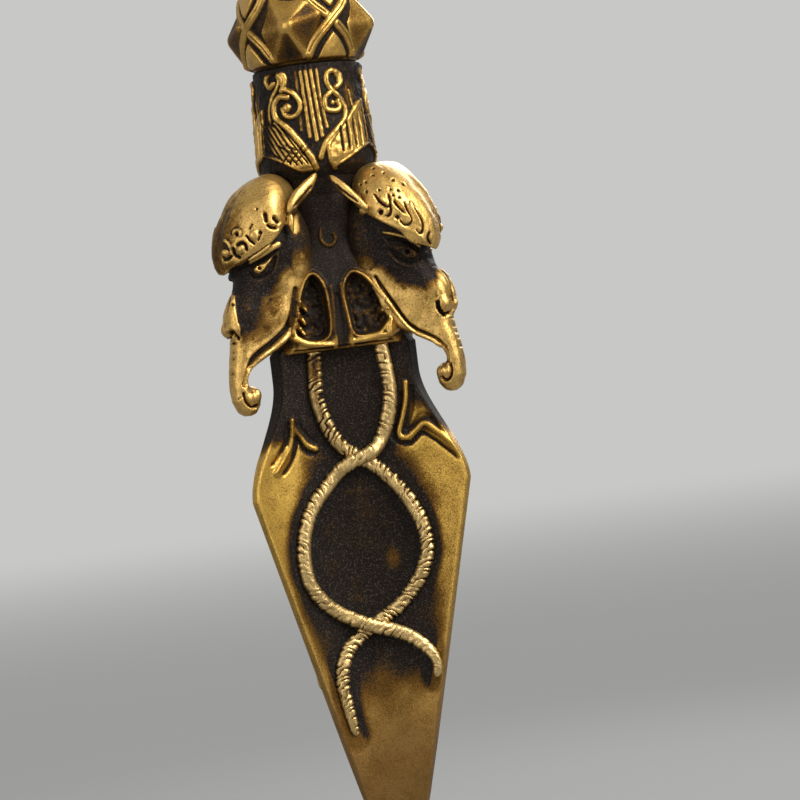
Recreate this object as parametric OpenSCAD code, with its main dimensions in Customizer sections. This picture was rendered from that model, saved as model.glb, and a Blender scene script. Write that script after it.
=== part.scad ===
// A three-bladed ritual dagger (phurba), point down, in millimetres.
// The point is at the origin and +Z runs up the axis to the crowning half-vajra.
// Three flanges stand at 90, 210 and 330 degrees; the hollow faces between them
// look along 270, 30 and 150 degrees. Each flange comes out of a makara's mouth.

/* [Blade] */
// Length from the point to the seat under the jaw collar
blade_len = 95.5; // [90:0.5:104]
// Height of the widest place above the point
wide_z = 71.5; // [64:0.5:76]
// Reach of each flange from the axis at the widest place
blade_reach = 20.9; // [17:0.1:22]
// Reach of each flange at the waist under the heads
waist_reach = 13.5; // [12:0.1:15]
// Thickness of a flange's outer edge at the widest place
edge_t = 1.8; // [1.2:0.1:2.6]
// Thickness of a flange's outer edge at the waist
waist_edge_t = 3.4; // [2.4:0.1:4.4]
// How far each face is hollowed at the widest place
flute_depth = 5.6; // [3:0.1:6.5]
// How far each face is hollowed at the waist
waist_flute = 1.9; // [0.5:0.1:3]

/* [Tang] */
// Diameter of the rod that carries the hilt
tang_d = 5; // [4:0.1:6]
// Radial clearance between the rod and each bore
fit = 0.1; // [0.05:0.01:0.2]

/* [Serpents] */
// Diameter of a serpent's body
serpent_d = 2.4; // [1.8:0.1:2.8]
// Gap left for solder under applied ornament
solder = 0.15; // [0.1:0.01:0.3]

/* [Jaw collar] */
// Diameter over the collar's rim, where the lower jaws meet
rim_d = 19.6; // [18:0.1:21]
// Diameter of the collar's stem between the heads
stem_d = 14.8; // [13:0.1:16]
// Height of the collar
collar_h = 32.4; // [31:0.1:34]
// Depth of each open mouth
mouth_depth = 2.4; // [1:0.1:3]

/* [Makara heads] */
// Distance from the axis to the middle of each brow
brow_reach = 12.3; // [11.5:0.1:13]
// Width of each brow
brow_w = 16; // [13:0.1:17]
// Length of each brow along the face
brow_l = 19; // [17:0.1:20]
// Distance from the axis to the middle of each hanging trunk
trunk_reach = 20.9; // [20:0.1:22]
// Thickness of the trunk above its curl
trunk_d = 4.2; // [3.4:0.1:5]
// Diameter of an eyeball
eye_d = 2.9; // [2:0.1:3.4]

/* [Neck] */
// Height of the neck sleeve
neck_h = 15.6; // [13:0.1:18]
// Diameter of the neck at its foot
neck_foot_d = 20.2; // [18:0.1:21.4]
// Diameter of the neck under the knot
neck_top_d = 18.1; // [16:0.1:19]
// Height of a ridge, scroll or leaf over the neck
relief = 0.55; // [0.3:0.05:0.8]

/* [Knots] */
// Height of a knot
knot_h = 14; // [12:0.1:17]
// Diameter of a knot's body at its middle
knot_d = 21.4; // [19.8:0.1:23]
// Diameter of a knot's body at its two ends
knot_end_d = 19; // [17.4:0.1:19.6]
// Diameter over a pair of opposite studs
stud_span = 25.6; // [24.6:0.1:28]
// Turn of the knots' studs against the blade's faces, in degrees
knot_turn = -18; // [-45:1:45]
// Width of a stud at its middle height
stud_w = 12.4; // [10:0.1:12.6]
// Width of a stud's upper and lower edge
stud_foot_w = 5.8; // [4:0.1:7]
// Width of an interlaced strap
strap_w = 1.9; // [1.2:0.1:2.4]

/* [Grip] */
// Length of the grip between the knots
grip_h = 32; // [28:1:60]
// Diameter of the grip at its two waists
grip_d = 12.4; // [11:0.1:14]
// Diameter of the band round the middle
band_d = 17.6; // [16:0.1:20]
// Diameter over a petal cup's open mouth
petal_d = 19; // [17.6:0.1:21]
// Number of petals in a cup
petals = 8; // [6:1:10]

/* [Half-vajra] */
// Height from the lotus seat to the top of the middle prong
vajra_h = 50; // [44:1:60]
// Diameter across the bowed outer prongs, middle to middle
prong_span = 17; // [15:0.1:20]
// Thickness of an outer prong where it bows
prong_t = 3.6; // [2.8:0.1:4.2]
// Thickness of the middle prong
spike_d = 4.6; // [4:0.1:5.6]

/* [Hidden] */

// Stack of the hilt, from the blade's seat upwards
collar_z = blade_len;
neck_z = collar_z + collar_h;
lower_knot_z = neck_z + neck_h;
grip_z = lower_knot_z + knot_h;
upper_knot_z = grip_z + grip_h;
lotus_z = upper_knot_z + knot_h;

// Heights and sizes that follow from the ones above
waist_z = blade_len - 4.5;
bore_d = tang_d + 2 * fit;
seam = 0.04;
nut_h = 4;
nut_w = 9;
tang_top = lotus_z + nut_h + 1;
lotus_h = 8;
vajra_z = lotus_z + lotus_h;
flange_at = [90, 210, 330];
face_at = [270, 30, 150];

brass = [0.72, 0.55, 0.25];
dark_brass = [0.42, 0.32, 0.16];
steel = [0.55, 0.55, 0.57];

// Eases from 0 to 1 as t goes from 0 to 1
function ease(t) = let (s = max(0, min(1, t))) s * s * (3 - 2 * s);
function mix(a, b, t) = a + (b - a) * t;

// Reach of a flange from the axis at height z
function reach(z) =
  z < wide_z
    ? mix(0.5, blade_reach, pow(z / wide_z, 0.96))
    : mix(blade_reach, waist_reach, ease((z - wide_z) / (waist_z - wide_z)));

// Half the thickness of a flange's outer edge at height z
function half_edge(z) =
  z < wide_z
    ? mix(0.25, edge_t / 2, ease(z / 30))
    : mix(edge_t / 2, waist_edge_t / 2, ease((z - wide_z) / (waist_z - wide_z)));

// How far a face is hollowed at height z
function flute(z) =
  z < wide_z
    ? flute_depth * ease((z - 12) / (wide_z - 16))
    : mix(flute_depth, waist_flute, ease((z - wide_z) / (waist_z - wide_z)));

// Half the width of a face, and the distance of its two corners from the axis
function face_half(z) = reach(z) * cos(30) - half_edge(z) * sin(30);
function corner_y(z) = reach(z) * sin(30) + half_edge(z) * cos(30);

// Distance of a face from the axis, x across the face and z up it
flute_power = 2.3;
function face_y(x, z) =
  corner_y(z) - flute(z) * (1 - pow(min(1, abs(x) / face_half(z)), flute_power));

// A smooth curve through points, with the given number of steps between them
function through(p, steps) = [
  for (i = [0 : len(p) - 2])
    let (
      a = p[max(0, i - 1)],
      b = p[i],
      c = p[i + 1],
      d = p[min(len(p) - 1, i + 2)]
    )
    for (k = [0 : steps - (i == len(p) - 2 ? 0 : 1)])
      let (t = k / steps)
      0.5 * (2 * b + (c - a) * t + (2 * a - 5 * b + 4 * c - d) * t * t
        + (3 * b - a - 3 * c + d) * t * t * t)
];

// Direction of a path at its point i
function along(p, i) =
  let (v = p[min(len(p) - 1, i + 1)] - p[max(0, i - 1)]) v / norm(v);

// Middle of a ring of points
function middle(r) = let (one = [for (p = r) 1]) one * r / len(r);

// Closes a stack of rings, each with the same number of points, into one solid.
// Each ring turns right-handed about the way the stack runs.
module skin(rings) {
  n = len(rings[0]);
  last = len(rings) - 1;
  first_middle = (last + 1) * n;
  polyhedron(
    points = concat([for (r = rings) each r], [middle(rings[0]), middle(rings[last])]),
    faces = [
      for (i = [0 : n - 1])
        let (k = (i + 1) % n)
        each concat(
          [[i, k, first_middle], [last * n + k, last * n + i, first_middle + 1]],
          [
            for (j = [0 : last - 1])
              let (a = j * n + i, b = j * n + k)
              each [[a, a + n, b], [b, a + n, b + n]]
          ]
        )
    ]
  );
}

// A tube along points [x, z, radius] in the plane of X and Z, its section as wide as tall
module plane_tube(path, sides) {
  skin([
    for (i = [0 : len(path) - 1])
      let (
        p = path[i],
        d = along([for (q = path) [q[0], q[1]]], i),
        r = p[2]
      )
      [
        for (k = [0 : sides - 1])
          let (a = 360 * k / sides)
          [p[0] - r * sin(a) * d[1], r * cos(a), p[1] + r * sin(a) * d[0]]
      ]
  ]);
}

// The blade: three flanges with hollow faces, and the rod that runs up through the hilt
blade_steps = 24;
face_steps = 12;
module blade() {
  color(brass) {
    skin([
      for (j = [0 : blade_steps])
        let (z = blade_len * j / blade_steps)
        [
          for (f = [0 : 2])
            for (i = [0 : face_steps])
              let (
                x = face_half(z) * (2 * i / face_steps - 1),
                y = face_y(x, z),
                a = 120 * f
              )
              [x * cos(a) + y * sin(a), x * sin(a) - y * cos(a), z]
        ]
    ]);
    translate([0, 0, blade_len - 3]) cylinder(d = tang_d, h = tang_top - blade_len + 3, $fn = 48);
  }
}

// Routes of the two serpents down a face, as [share of the blade's reach, height over the widest
// place]. One passes over the other where they cross.
over_route = [
  [0.3, blade_len - 0.1 - wide_z], [0.33, 18.5], [0.32, 12.7], [0.23, 7.9], [0.02, 5.2],
  [-0.19, 2.9], [-0.41, -2.6], [-0.53, -10.5], [-0.49, -16.1], [-0.29, -20.5], [-0.01, -23.7],
  [0.18, -25], [0.34, -27.4], [0.43, -30.4], [0.43, -33]
];
under_route = [
  [-0.25, blade_len - 0.1 - wide_z], [-0.24, 18.5], [-0.21, 13.9], [-0.09, 8.8], [0.03, 5.3],
  [0.19, 3.3], [0.39, -2.8], [0.49, -10.7], [0.47, -15], [0.33, -18.8], [0.15, -21.6],
  [-0.01, -23.6], [-0.11, -25], [-0.25, -27.9], [-0.32, -31.9], [-0.31, -37], [-0.27, -41.5]
];
crossings = [[0.02, 5.2], [-0.01, -23.7]];
function on_face(route) = [for (p = route) [p[0] * blade_reach, p[1] + wide_z]];

// Height of a serpent's foot over the face: the upper one arches over the lower where they cross
function lift(p, over) =
  let (near = min([for (c = on_face(crossings)) norm(p - c)]))
  solder + (over ? (serpent_d / 2 + solder) * (1 - ease((near / serpent_d - 1) / 1.4)) : 0);

// Radius of a serpent's body, which tapers over its last part towards the tail
function body_r(t) = serpent_d / 2 * (1 - 0.62 * ease((t - 0.8) / 0.2));

// A serpent along a route: a rounded back over a foot that follows the face
back_steps = 5;
serpent_steps = 3;
module serpent(face, over) {
  route = through(on_face(over ? over_route : under_route), serpent_steps);
  last = len(route) - 1;
  color(brass)
    rotate([0, 0, face_at[face] - 270])
      skin([
        for (i = [0 : last])
          let (
            p = route[i],
            d = along(route, i),
            r = body_r(i / last),
            foot = lift(p, over)
          )
          concat(
            [
              for (k = [0 : back_steps])
                let (
                  a = 180 * k / back_steps,
                  x = p[0] - r * cos(a) * d[1],
                  z = min(blade_len, p[1] + r * cos(a) * d[0])
                )
                [x, -face_y(x, z) - foot - r * sin(a), z]
            ],
            [[p[0], -face_y(p[0], p[1]) - foot, min(blade_len, p[1])]]
          )
      ]);
}

// The collar and the heads are drawn for these three sizes and follow the ones that are set
drawn_reach = 20.9;
drawn_w = 16;
drawn_h = 32.4;
rise = collar_h / drawn_h;

// Outline of the collar from its bottom face to its top, as [radius, height over its seat]
function collar_outline() = [
  for (p = [
    [rim_d / 2 - 0.9, 0], [rim_d / 2, 0.9], [rim_d / 2, 2.4], [rim_d / 2 - 0.5, 3.4],
    [rim_d / 2 - 1.1, 11.5], [stem_d / 2 + 0.6, 16.5], [stem_d / 2, 21], [stem_d / 2, 26],
    [neck_foot_d / 2 - 0.4, drawn_h - 1], [neck_foot_d / 2, drawn_h]
  ])
    [p[0], p[1] * rise]
];

module collar_body(grow) {
  translate([0, 0, collar_z])
    rotate_extrude($fn = 96)
      polygon(concat(
        [[0, -grow]],
        [for (p = collar_outline()) [p[0] + grow, p[1] + (p[1] < 0.1 ? -grow : 0)]],
        [[0, collar_h]]
      ));
}

// Outline of one open mouth on a face, as [across, height over the collar's seat]
mouth_outline = [
  [1.1, 2.9], [7.6, 2.9], [8, 4.4], [6.6, 8.6], [5.1, 11.6], [4, 13], [3, 13.3], [2.2, 12.6],
  [1.6, 10], [1.2, 6]
];

module jaw_collar() {
  color(dark_brass)
    difference() {
      collar_body(0);
      translate([0, 0, collar_z - 1]) cylinder(d = bore_d, h = collar_h + 2, $fn = 48);
      for (a = face_at, s = [-1, 1])
        rotate([0, 0, a + 90])
          translate([0, -(rim_d / 2 - 1.1 - mouth_depth), collar_z])
            rotate([90, 0, 0])
              linear_extrude(height = rim_d)
                polygon([for (p = s > 0 ? mouth_outline : [for (k = [len(mouth_outline) - 1 : -1 : 0])
                  mouth_outline[k]]) [s * p[0], p[1] * rise]]);
    }
}

head_scale = [trunk_reach / drawn_reach, brow_w / drawn_w, rise];

// A ball at [outwards, sideways, height over the collar's seat]
module ball(p, r, fn = 16) {
  translate(p) sphere(r = r, $fn = fn);
}

// The snout and trunk in the flange's own plane, as [outwards, height over the seat, radius]
trunk_route = [
  [15.2, 11.5, trunk_d * 1.1], [17.6, 8, trunk_d * 0.88], [19.6, 4.4, trunk_d * 0.67],
  [20.7, 0.8, trunk_d * 0.55], [20.9, -2.6, trunk_d * 0.5], [20.4, -5.6, trunk_d * 0.49],
  [19.2, -7.3, trunk_d * 0.44], [17.8, -7, trunk_d * 0.36], [17.3, -5.4, trunk_d * 0.27],
  [18, -4.4, trunk_d * 0.23]
];

// One makara's head, its face looking along +X. The brow overhangs the eyes, and the cheeks
// narrow into the nose and the trunk, which hangs down and curls back to the blade.
brow_z = 22.4;
eye_at = [15.2, 4.7, 15.6];
module makara_shape() {
  // brow, cut off below along the line over the eyes
  intersection() {
    translate([brow_reach / head_scale[0], 0, brow_z])
      rotate([0, -22, 0])
        scale([9.2, drawn_w / 2, brow_l / 2 / head_scale[2]]) sphere(r = 1, $fn = 26);
    translate([0, 0, 19])
      rotate([0, 22, 0])
        translate([-drawn_reach / 2, -drawn_w, 0]) cube([2 * drawn_reach, 2 * drawn_w, drawn_h]);
  }
  // rolled rim of the brow over each eye
  for (s = [-1, 1])
    hull() {
      ball([10.2, s * 6.4, 18.6], 1.3);
      ball([17.4, s * 4.4, 15.8], 1.3);
    }
  // forehead, cheeks and upper jaw
  hull() for (s = [-1, 1]) {
    ball([8.6, s * 2.6, 18], 3);
    ball([15, s * 2, 17], 3.6);
    ball([9.6, s * 3.2, 11], 2.2);
    ball([16, s * 1.2, 10], 3.4);
  }
  hull() for (s = [-1, 1]) {
    ball([9.6, s * 3.2, 11], 2.2);
    ball([15.2, s * 1.5, 10.6], 3.5);
    ball([14.2, s * 1.9, 5.4], 1.9);
    ball([18.4, s * 0.4, 5.6], 2.6);
  }
  plane_tube(through(trunk_route, 2), 12);
  for (s = [-1, 1]) {
    // nostril
    hull() {
      ball([20.3, s * 1.5, 6.6], 1.7);
      ball([19, s * 1.2, 10.6], 1.3);
    }
    // eyeball and lower lid
    ball([eye_at[0] - 0.3, s * eye_at[1], eye_at[2] - 0.9], eye_d / 2, 14);
    hull() {
      ball([12, s * 5.2, 14.6], 0.7, 10);
      ball([16, s * 4.4, 12.6], 0.7, 10);
    }
    // ear, lying back against the stem
    hull() {
      ball([10, s * 7, 23.2], 1.2, 12);
      ball([6.2, s * 7.3, 28.4], 1.1, 12);
    }
    // gum along the mouth
    hull() {
      ball([9.4, s * 5.1, 12], 0.6, 10);
      ball([14.2, s * 3.5, 4], 0.6, 10);
    }
    hull() {
      ball([14.2, s * 3.5, 4], 0.6, 10);
      ball([18.9, s * 1.4, 1.6], 0.6, 10);
    }
  }
}

module makara(k) {
  color(brass)
    difference() {
      translate([0, 0, collar_z])
        rotate([0, 0, flange_at[k]])
          scale(head_scale) makara_shape();
      collar_body(seam);
      // room for the neck above and the blade's shoulders below
      translate([0, 0, neck_z - 0.02]) cylinder(r = neck_foot_d / 2 + 4, h = neck_h, $fn = 64);
      translate([0, 0, collar_z - 8]) cylinder(r = waist_reach + 1.4, h = 8, $fn = 64);
    }
}

// Radius of the neck at height z over its foot, and the height of its ridges
ridge = relief * 0.8;
function neck_r(z) = mix(neck_foot_d, neck_top_d, z / neck_h) / 2;

module neck_sleeve() {
  color(dark_brass)
    difference() {
      union() {
        translate([0, 0, neck_z]) cylinder(r1 = neck_r(0), r2 = neck_r(neck_h), h = neck_h, $fn = 96);
        // five upright ridges on each face
        intersection() {
          translate([0, 0, neck_z])
            cylinder(r1 = neck_r(0) + ridge, r2 = neck_r(neck_h) + ridge, h = neck_h, $fn = 96);
          union()
            for (a = face_at, i = [-2 : 2])
              rotate([0, 0, a + i * 7.5])
                translate([neck_r(neck_h) / 2, -0.3, neck_z + 2.4 + abs(i) * 1.7])
                  cube([neck_foot_d, 0.6, neck_h - 3.4 - abs(i) * 1.7]);
        }
      }
      translate([0, 0, neck_z - 1]) cylinder(d = bore_d, h = neck_h + 2, $fn = 48);
    }
}

// A collar of three leaves round the neck's foot, cut to a point at the middle of each face
leaf_h = 6.4;
module leaf_collar() {
  color(brass)
    difference() {
      translate([0, 0, neck_z])
        rotate_extrude($fn = 96)
          polygon([
            [neck_r(0) + seam, 0], [neck_r(0) + relief, 0], [neck_r(leaf_h) + relief, leaf_h],
            [neck_r(leaf_h) + seam, leaf_h]
          ]);
      for (a = face_at)
        rotate([0, 0, a + 90])
          translate([0, 0, neck_z + 0.7])
            rotate([90, 0, 0])
              linear_extrude(height = neck_foot_d)
                polygon([[0, 0], [5.4, leaf_h + 1], [-5.4, leaf_h + 1]]);
    }
}

// A raised band on a round piece. Each point of its route is [degrees, height, lift off the piece],
// and radius gives the piece's own radius at a height. The band is set down on the piece at height foot.
module band(route, half_w, h, radius, foot) {
  last = len(route) - 1;
  skin([
    for (i = [0 : last])
      let (
        p = route[i],
        arc = PI / 180 * radius(p[1]),
        d = along([for (q = route) [q[0] * arc, q[1]]], i)
      )
      [
        for (q = [[half_w, 0], [half_w * 0.7, h], [-half_w * 0.7, h], [-half_w, 0]])
          let (
            g = p[0] - q[0] * d[1] / arc,
            y = p[1] + q[0] * d[0],
            r = radius(y) + p[2] + q[1]
          )
          [r * cos(g), r * sin(g), foot + y]
      ]
  ]);
}

// Route of a scroll on one half of a face, as [degrees from the face's middle, height]: a loop
// that opens out from its middle, and a tail that runs down to the face's middle
loop_at = [-34, 12.6];
scroll_route = concat(
  [
    for (k = [0 : 6])
      let (a = 250 - 45 * k, r = mix(0.6, 1.7, k / 6))
      [loop_at[0] + r * cos(a) / 0.165, loop_at[1] + r * sin(a)]
  ],
  [[-26, 10.2], [-31, 8.6], [-34, 6.6], [-28, 3.8], [-15, 1.4]]
);
module neck_scrolls() {
  route = [
    for (p = through(scroll_route, 2))
      [p[0], p[1], 2 * seam + (p[1] < leaf_h + 0.6 ? relief + seam : 0)]
  ];
  color(brass)
    for (a = face_at, s = [0, 1])
      rotate([0, 0, a])
        mirror([0, s, 0])
          band(route, 0.5, relief, function(z) neck_r(z), neck_z);
}

// Radius of a knot's body at height z over its foot
function knot_r(z) = mix(knot_end_d, knot_d, sin(180 * z / knot_h)) / 2;
knot_steps = 8;
function knot_outline() = [
  for (i = [0 : knot_steps])
    let (z = knot_h * i / knot_steps)
    [knot_r(z), z]
];

// Flats that the studs sit on, and the pegs that hold them
stud_seat = knot_end_d / 2 - 0.3;
stud_h = knot_h - 3.2;
peg_d = 2.6;
peg_l = 3;

// Outline of a stud, as [across, up] from its middle, widened all round by grow
function stud_outline(grow) = [
  for (p = [[-1, 0.1], [-0.5, -0.5], [0.5, -0.5], [1, 0.1], [0.5, 0.5], [-0.5, 0.5]])
    [
      sign(p[0]) * ((abs(p[0]) == 1 ? stud_w : stud_foot_w) / 2 + grow),
      p[1] * stud_h + (abs(p[1]) == 0.5 ? sign(p[1]) * grow : 0)
    ]
];

module knot(z) {
  color(dark_brass)
    translate([0, 0, z])
      difference() {
        rotate_extrude($fn = 96) polygon(concat([[0, 0]], knot_outline(), [[0, knot_h]]));
        translate([0, 0, -1]) cylinder(d = bore_d, h = knot_h + 2, $fn = 48);
        for (a = [0 : 90 : 270])
          rotate([0, 0, a + knot_turn])
            translate([stud_seat, 0, knot_h / 2]) {
              rotate([90, 0, 90]) linear_extrude(height = knot_d) polygon(stud_outline(fit));
              rotate([0, -90, 0]) cylinder(d = peg_d + 2 * fit, h = peg_l + 0.2, $fn = 32);
            }
      }
}

// One six-sided stud: its facets rise from a low wall to a small flat at its tip
stud_wall = 0.5;
stud_tip = 1.7;
module knot_studs(z) {
  top = stud_span / 2 - stud_seat;
  foot = [for (p = stud_outline(0)) [0, p[0], p[1]]];
  tip = [for (p = foot) [0, stud_tip * 0.5 * sign(p[1]), stud_tip * 0.36 * sign(p[2])]];
  color(brass)
    for (a = [0 : 90 : 270])
      rotate([0, 0, a + knot_turn])
        translate([stud_seat, 0, z + knot_h / 2]) {
          skin([
            foot,
            [for (p = foot) p + [stud_wall, 0, 0]],
            [for (p = tip) p + [top, 0, 0]]
          ]);
          rotate([0, -90, 0]) translate([0, 0, -0.2]) cylinder(d = peg_d, h = peg_l + 0.2, $fn = 32);
        }
}

// Crossed straps in the gaps between the studs: in each gap one arches over the other
strap_steps = 10;
module knot_straps(z) {
  h = relief * 1.2;
  edge = 1.2;
  turn = 45 - atan(stud_foot_w / 2 / stud_seat) - strap_w * 0.75 / (PI / 180 * knot_end_d / 2);
  color(brass)
    for (a = [45 : 90 : 315], over = [0, 1])
      rotate([0, 0, a + knot_turn])
        mirror([0, over, 0])
          band(
            [
              for (i = [0 : strap_steps])
                let (t = i / strap_steps)
                [
                  mix(-turn, turn, t),
                  mix(edge, knot_h - edge, t),
                  2 * seam + over * (h + seam) * (1 - ease((abs(t - 0.5) - 0.14) / 0.2))
                ]
            ],
            strap_w / 2, h, function(y) knot_r(y), z
          );
}

// The grip: waisted above and below a plain seat for the band
band_h = 5;
cup_h = 8;
module grip() {
  seat_r = band_d / 2 - 1.6;
  mid = grip_h / 2;
  color(dark_brass)
    translate([0, 0, grip_z])
      difference() {
        rotate_extrude($fn = 96)
          polygon([
            [0, 0], [knot_end_d / 2 - 0.8, 0], [knot_end_d / 2 - 0.8, 1.6], [grip_d / 2, 2.4],
            [grip_d / 2, mid - band_h / 2 - 1.6], [grip_d / 2 + 1, mid - band_h / 2],
            [seat_r - 0.3, mid - band_h / 2], [seat_r - 0.3, mid + band_h / 2],
            [grip_d / 2 + 1, mid + band_h / 2], [grip_d / 2, mid + band_h / 2 + 1.6],
            [grip_d / 2, grip_h - 2.4], [knot_end_d / 2 - 0.8, grip_h - 1.6],
            [knot_end_d / 2 - 0.8, grip_h], [0, grip_h]
          ]);
        translate([0, 0, -1]) cylinder(d = bore_d, h = grip_h + 2, $fn = 48);
      }
}

// A beaded band that closes round the grip's middle
module grip_band() {
  seat_r = band_d / 2 - 1.6;
  color(brass)
    translate([0, 0, grip_z + grip_h / 2])
      rotate_extrude($fn = 96)
        polygon([
          [seat_r - 0.3 + fit, -band_h / 2], [seat_r + 0.5, -band_h / 2], [seat_r + 1.1, -band_h / 2 + 0.8],
          [seat_r + 0.8, -1.2], [band_d / 2, -0.5], [band_d / 2, 0.5], [seat_r + 0.8, 1.2],
          [seat_r + 1.1, band_h / 2 - 0.8], [seat_r + 0.5, band_h / 2], [seat_r - 0.3 + fit, band_h / 2]
        ]);
}

// A flaring cup cut into pointed petals: foot and mouth radii, height, wall and number of petals
module petal_cup(foot_r, mouth_r, h, wall, count) {
  pitch = 360 / count;
  half = mouth_r * sin(pitch / 2);
  difference() {
    rotate_extrude($fn = 96)
      polygon([
        [foot_r, 0], [foot_r + wall, 0], [mix(foot_r, mouth_r, 0.75) + wall * 0.8, h * 0.35],
        [mouth_r, h], [mouth_r - wall, h], [mix(foot_r, mouth_r, 0.7), h * 0.4]
      ]);
    for (i = [0 : count - 1])
      rotate([0, 0, (i + 0.5) * pitch])
        translate([0, 0, h])
          rotate([90, 0, 90])
            linear_extrude(height = mouth_r * 2)
              polygon([[0, -h * 0.5], [half * 0.55, -h * 0.2], [half * 0.95, 0.1], [-half * 0.95, 0.1],
                [-half * 0.55, -h * 0.2]]);
  }
}

module lower_petal_cup() {
  color(brass)
    translate([0, 0, grip_z + 2.5])
      petal_cup(grip_d / 2 + fit, petal_d / 2, cup_h, 1.2, petals);
}

module upper_petal_cup() {
  color(brass)
    translate([0, 0, grip_z + grip_h - 2.5])
      mirror([0, 0, 1])
        petal_cup(grip_d / 2 + fit, petal_d / 2, cup_h, 1.2, petals);
}

// Hidden nut that draws the hilt down on the rod
module tang_nut() {
  color(steel)
    translate([0, 0, lotus_z + 0.05])
      difference() {
        cylinder(d = nut_w, h = nut_h, $fn = 6);
        translate([0, 0, -1]) cylinder(d = bore_d, h = nut_h + 2, $fn = 48);
      }
}

// Seat of the half-vajra, hollow below for the nut
seat_foot_r = 8.4;
seat_top_r = 6.4;
module lotus_seat() {
  color(dark_brass)
    translate([0, 0, lotus_z])
      difference() {
        rotate_extrude($fn = 96)
          polygon([
            [0, 0], [seat_foot_r, 0], [seat_foot_r, 1.6], [5.8, 2.6], [5.8, lotus_h - 2.2],
            [seat_top_r + 1, lotus_h - 1.2], [seat_top_r + 1, lotus_h - 0.4], [seat_top_r + 0.6, lotus_h],
            [0, lotus_h]
          ]);
        translate([0, 0, -1]) cylinder(d = nut_w + 0.6, h = nut_h + 2.2, $fn = 48);
      }
}

module lotus_petals() {
  color(brass)
    translate([0, 0, lotus_z + 2.7])
      petal_cup(5.8 + fit, seat_top_r + 4.6, lotus_h + 1, 1.2, petals);
}

// Route of an outer prong from its foot to the crown, as [outwards, share of the height, radius]
prong_route = [
  [prong_span * 0.25, -0.02, prong_t * 0.42], [prong_span * 0.3, 0.05, prong_t * 0.42],
  [prong_span * 0.44, 0.16, prong_t * 0.44], [prong_span * 0.5, 0.28, prong_t * 0.5],
  [prong_span * 0.45, 0.44, prong_t * 0.47], [prong_span * 0.34, 0.58, prong_t * 0.39],
  [prong_span * 0.25, 0.68, prong_t * 0.32], [spike_d / 2 + prong_t * 0.42, 0.75, prong_t * 0.28]
];
module prong(a) {
  color(brass)
    rotate([0, 0, a])
      intersection() {
        plane_tube([for (p = through(prong_route, 2)) [p[0], vajra_z + p[1] * vajra_h, p[2]]], 10);
        translate([0, 0, vajra_z + seam]) cylinder(d = 2 * prong_span, h = vajra_h, $fn = 12);
      }
}

// The middle prong: a waisted spike with a collar that the outer prongs lean on
// Its outline is [share of its radius, share of its height].
spike_outline = [
  [0, 0], [1.22, 0], [1.22, 0.03], [0.74, 0.07], [1, 0.18], [0.91, 0.4], [0.7, 0.64], [1.17, 0.71],
  [1.17, 0.79], [0.65, 0.82], [1.26, 0.87], [1.22, 0.91], [0.4, 0.97], [0.17, 1], [0, 1]
];
module middle_prong() {
  color(brass)
    translate([0, 0, vajra_z])
      rotate_extrude($fn = 64)
        polygon([for (p = spike_outline) [p[0] * spike_d / 2, p[1] * vajra_h]]);
}

blade();
serpent(0, true);  // serpent_front_over
serpent(0, false);  // serpent_front_under
serpent(1, true);  // serpent_right_over
serpent(1, false);  // serpent_right_under
serpent(2, true);  // serpent_left_over
serpent(2, false);  // serpent_left_under
jaw_collar();
makara(1);  // makara_left
makara(2);  // makara_right
makara(0);  // makara_rear
neck_sleeve();
leaf_collar();
neck_scrolls();
knot(lower_knot_z);  // lower_knot
knot_straps(lower_knot_z);  // lower_knot_straps
knot_studs(lower_knot_z);  // lower_knot_studs
grip();
lower_petal_cup();
grip_band();
upper_petal_cup();
knot(upper_knot_z);  // upper_knot
knot_straps(upper_knot_z);  // upper_knot_straps
knot_studs(upper_knot_z);  // upper_knot_studs
tang_nut();
lotus_seat();
lotus_petals();
prong(270);  // prong_front
prong(0);  // prong_right
prong(90);  // prong_rear
prong(180);  // prong_left
middle_prong();
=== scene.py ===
"""A phurba in cast antique brass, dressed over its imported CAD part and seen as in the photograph.

Sizes in the classes are millimetres in the part's own frame: the point is at the origin, +Z runs up
through the hilt, and -Y is the front face. Meshes become metres as the last step of their making.
"""

from __future__ import annotations

import logging
import math
from collections.abc import Callable, Sequence
from dataclasses import dataclass, field
from enum import Enum
from functools import partial

import bpy
import numpy as np
from mathutils import Matrix, Vector


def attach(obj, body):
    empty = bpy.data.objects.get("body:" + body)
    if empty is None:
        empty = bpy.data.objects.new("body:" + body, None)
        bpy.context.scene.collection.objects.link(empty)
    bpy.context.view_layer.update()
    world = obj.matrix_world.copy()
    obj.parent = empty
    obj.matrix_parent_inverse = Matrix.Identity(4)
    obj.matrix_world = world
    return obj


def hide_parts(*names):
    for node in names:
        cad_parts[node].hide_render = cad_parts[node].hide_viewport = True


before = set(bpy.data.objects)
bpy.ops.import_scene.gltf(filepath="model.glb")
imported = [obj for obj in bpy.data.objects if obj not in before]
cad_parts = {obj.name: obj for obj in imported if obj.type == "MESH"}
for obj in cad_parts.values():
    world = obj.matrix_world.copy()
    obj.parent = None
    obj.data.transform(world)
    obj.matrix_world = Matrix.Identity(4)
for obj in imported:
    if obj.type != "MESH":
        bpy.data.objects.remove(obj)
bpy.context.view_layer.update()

Array = np.ndarray
Line = Sequence[tuple[float, float]]
Object = bpy.types.Object

MM = 0.001
BODY = "root"
# degrees round the axis: the dagger's three faces are alike, and the front one looks along -Y
THIRD = 120.0
FRONT = 270.0
FLANGES = {"rear": 90.0, "left": 210.0, "right": 330.0}

log = logging.getLogger("phurba")


class Slot(Enum):
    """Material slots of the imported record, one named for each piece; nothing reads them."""

    BLADE = "blade_brass"
    GILT = "gilt_brass"
    BRIGHT = "bright_brass"
    DARK = "dark_brass"


# Numbers and curves


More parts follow.
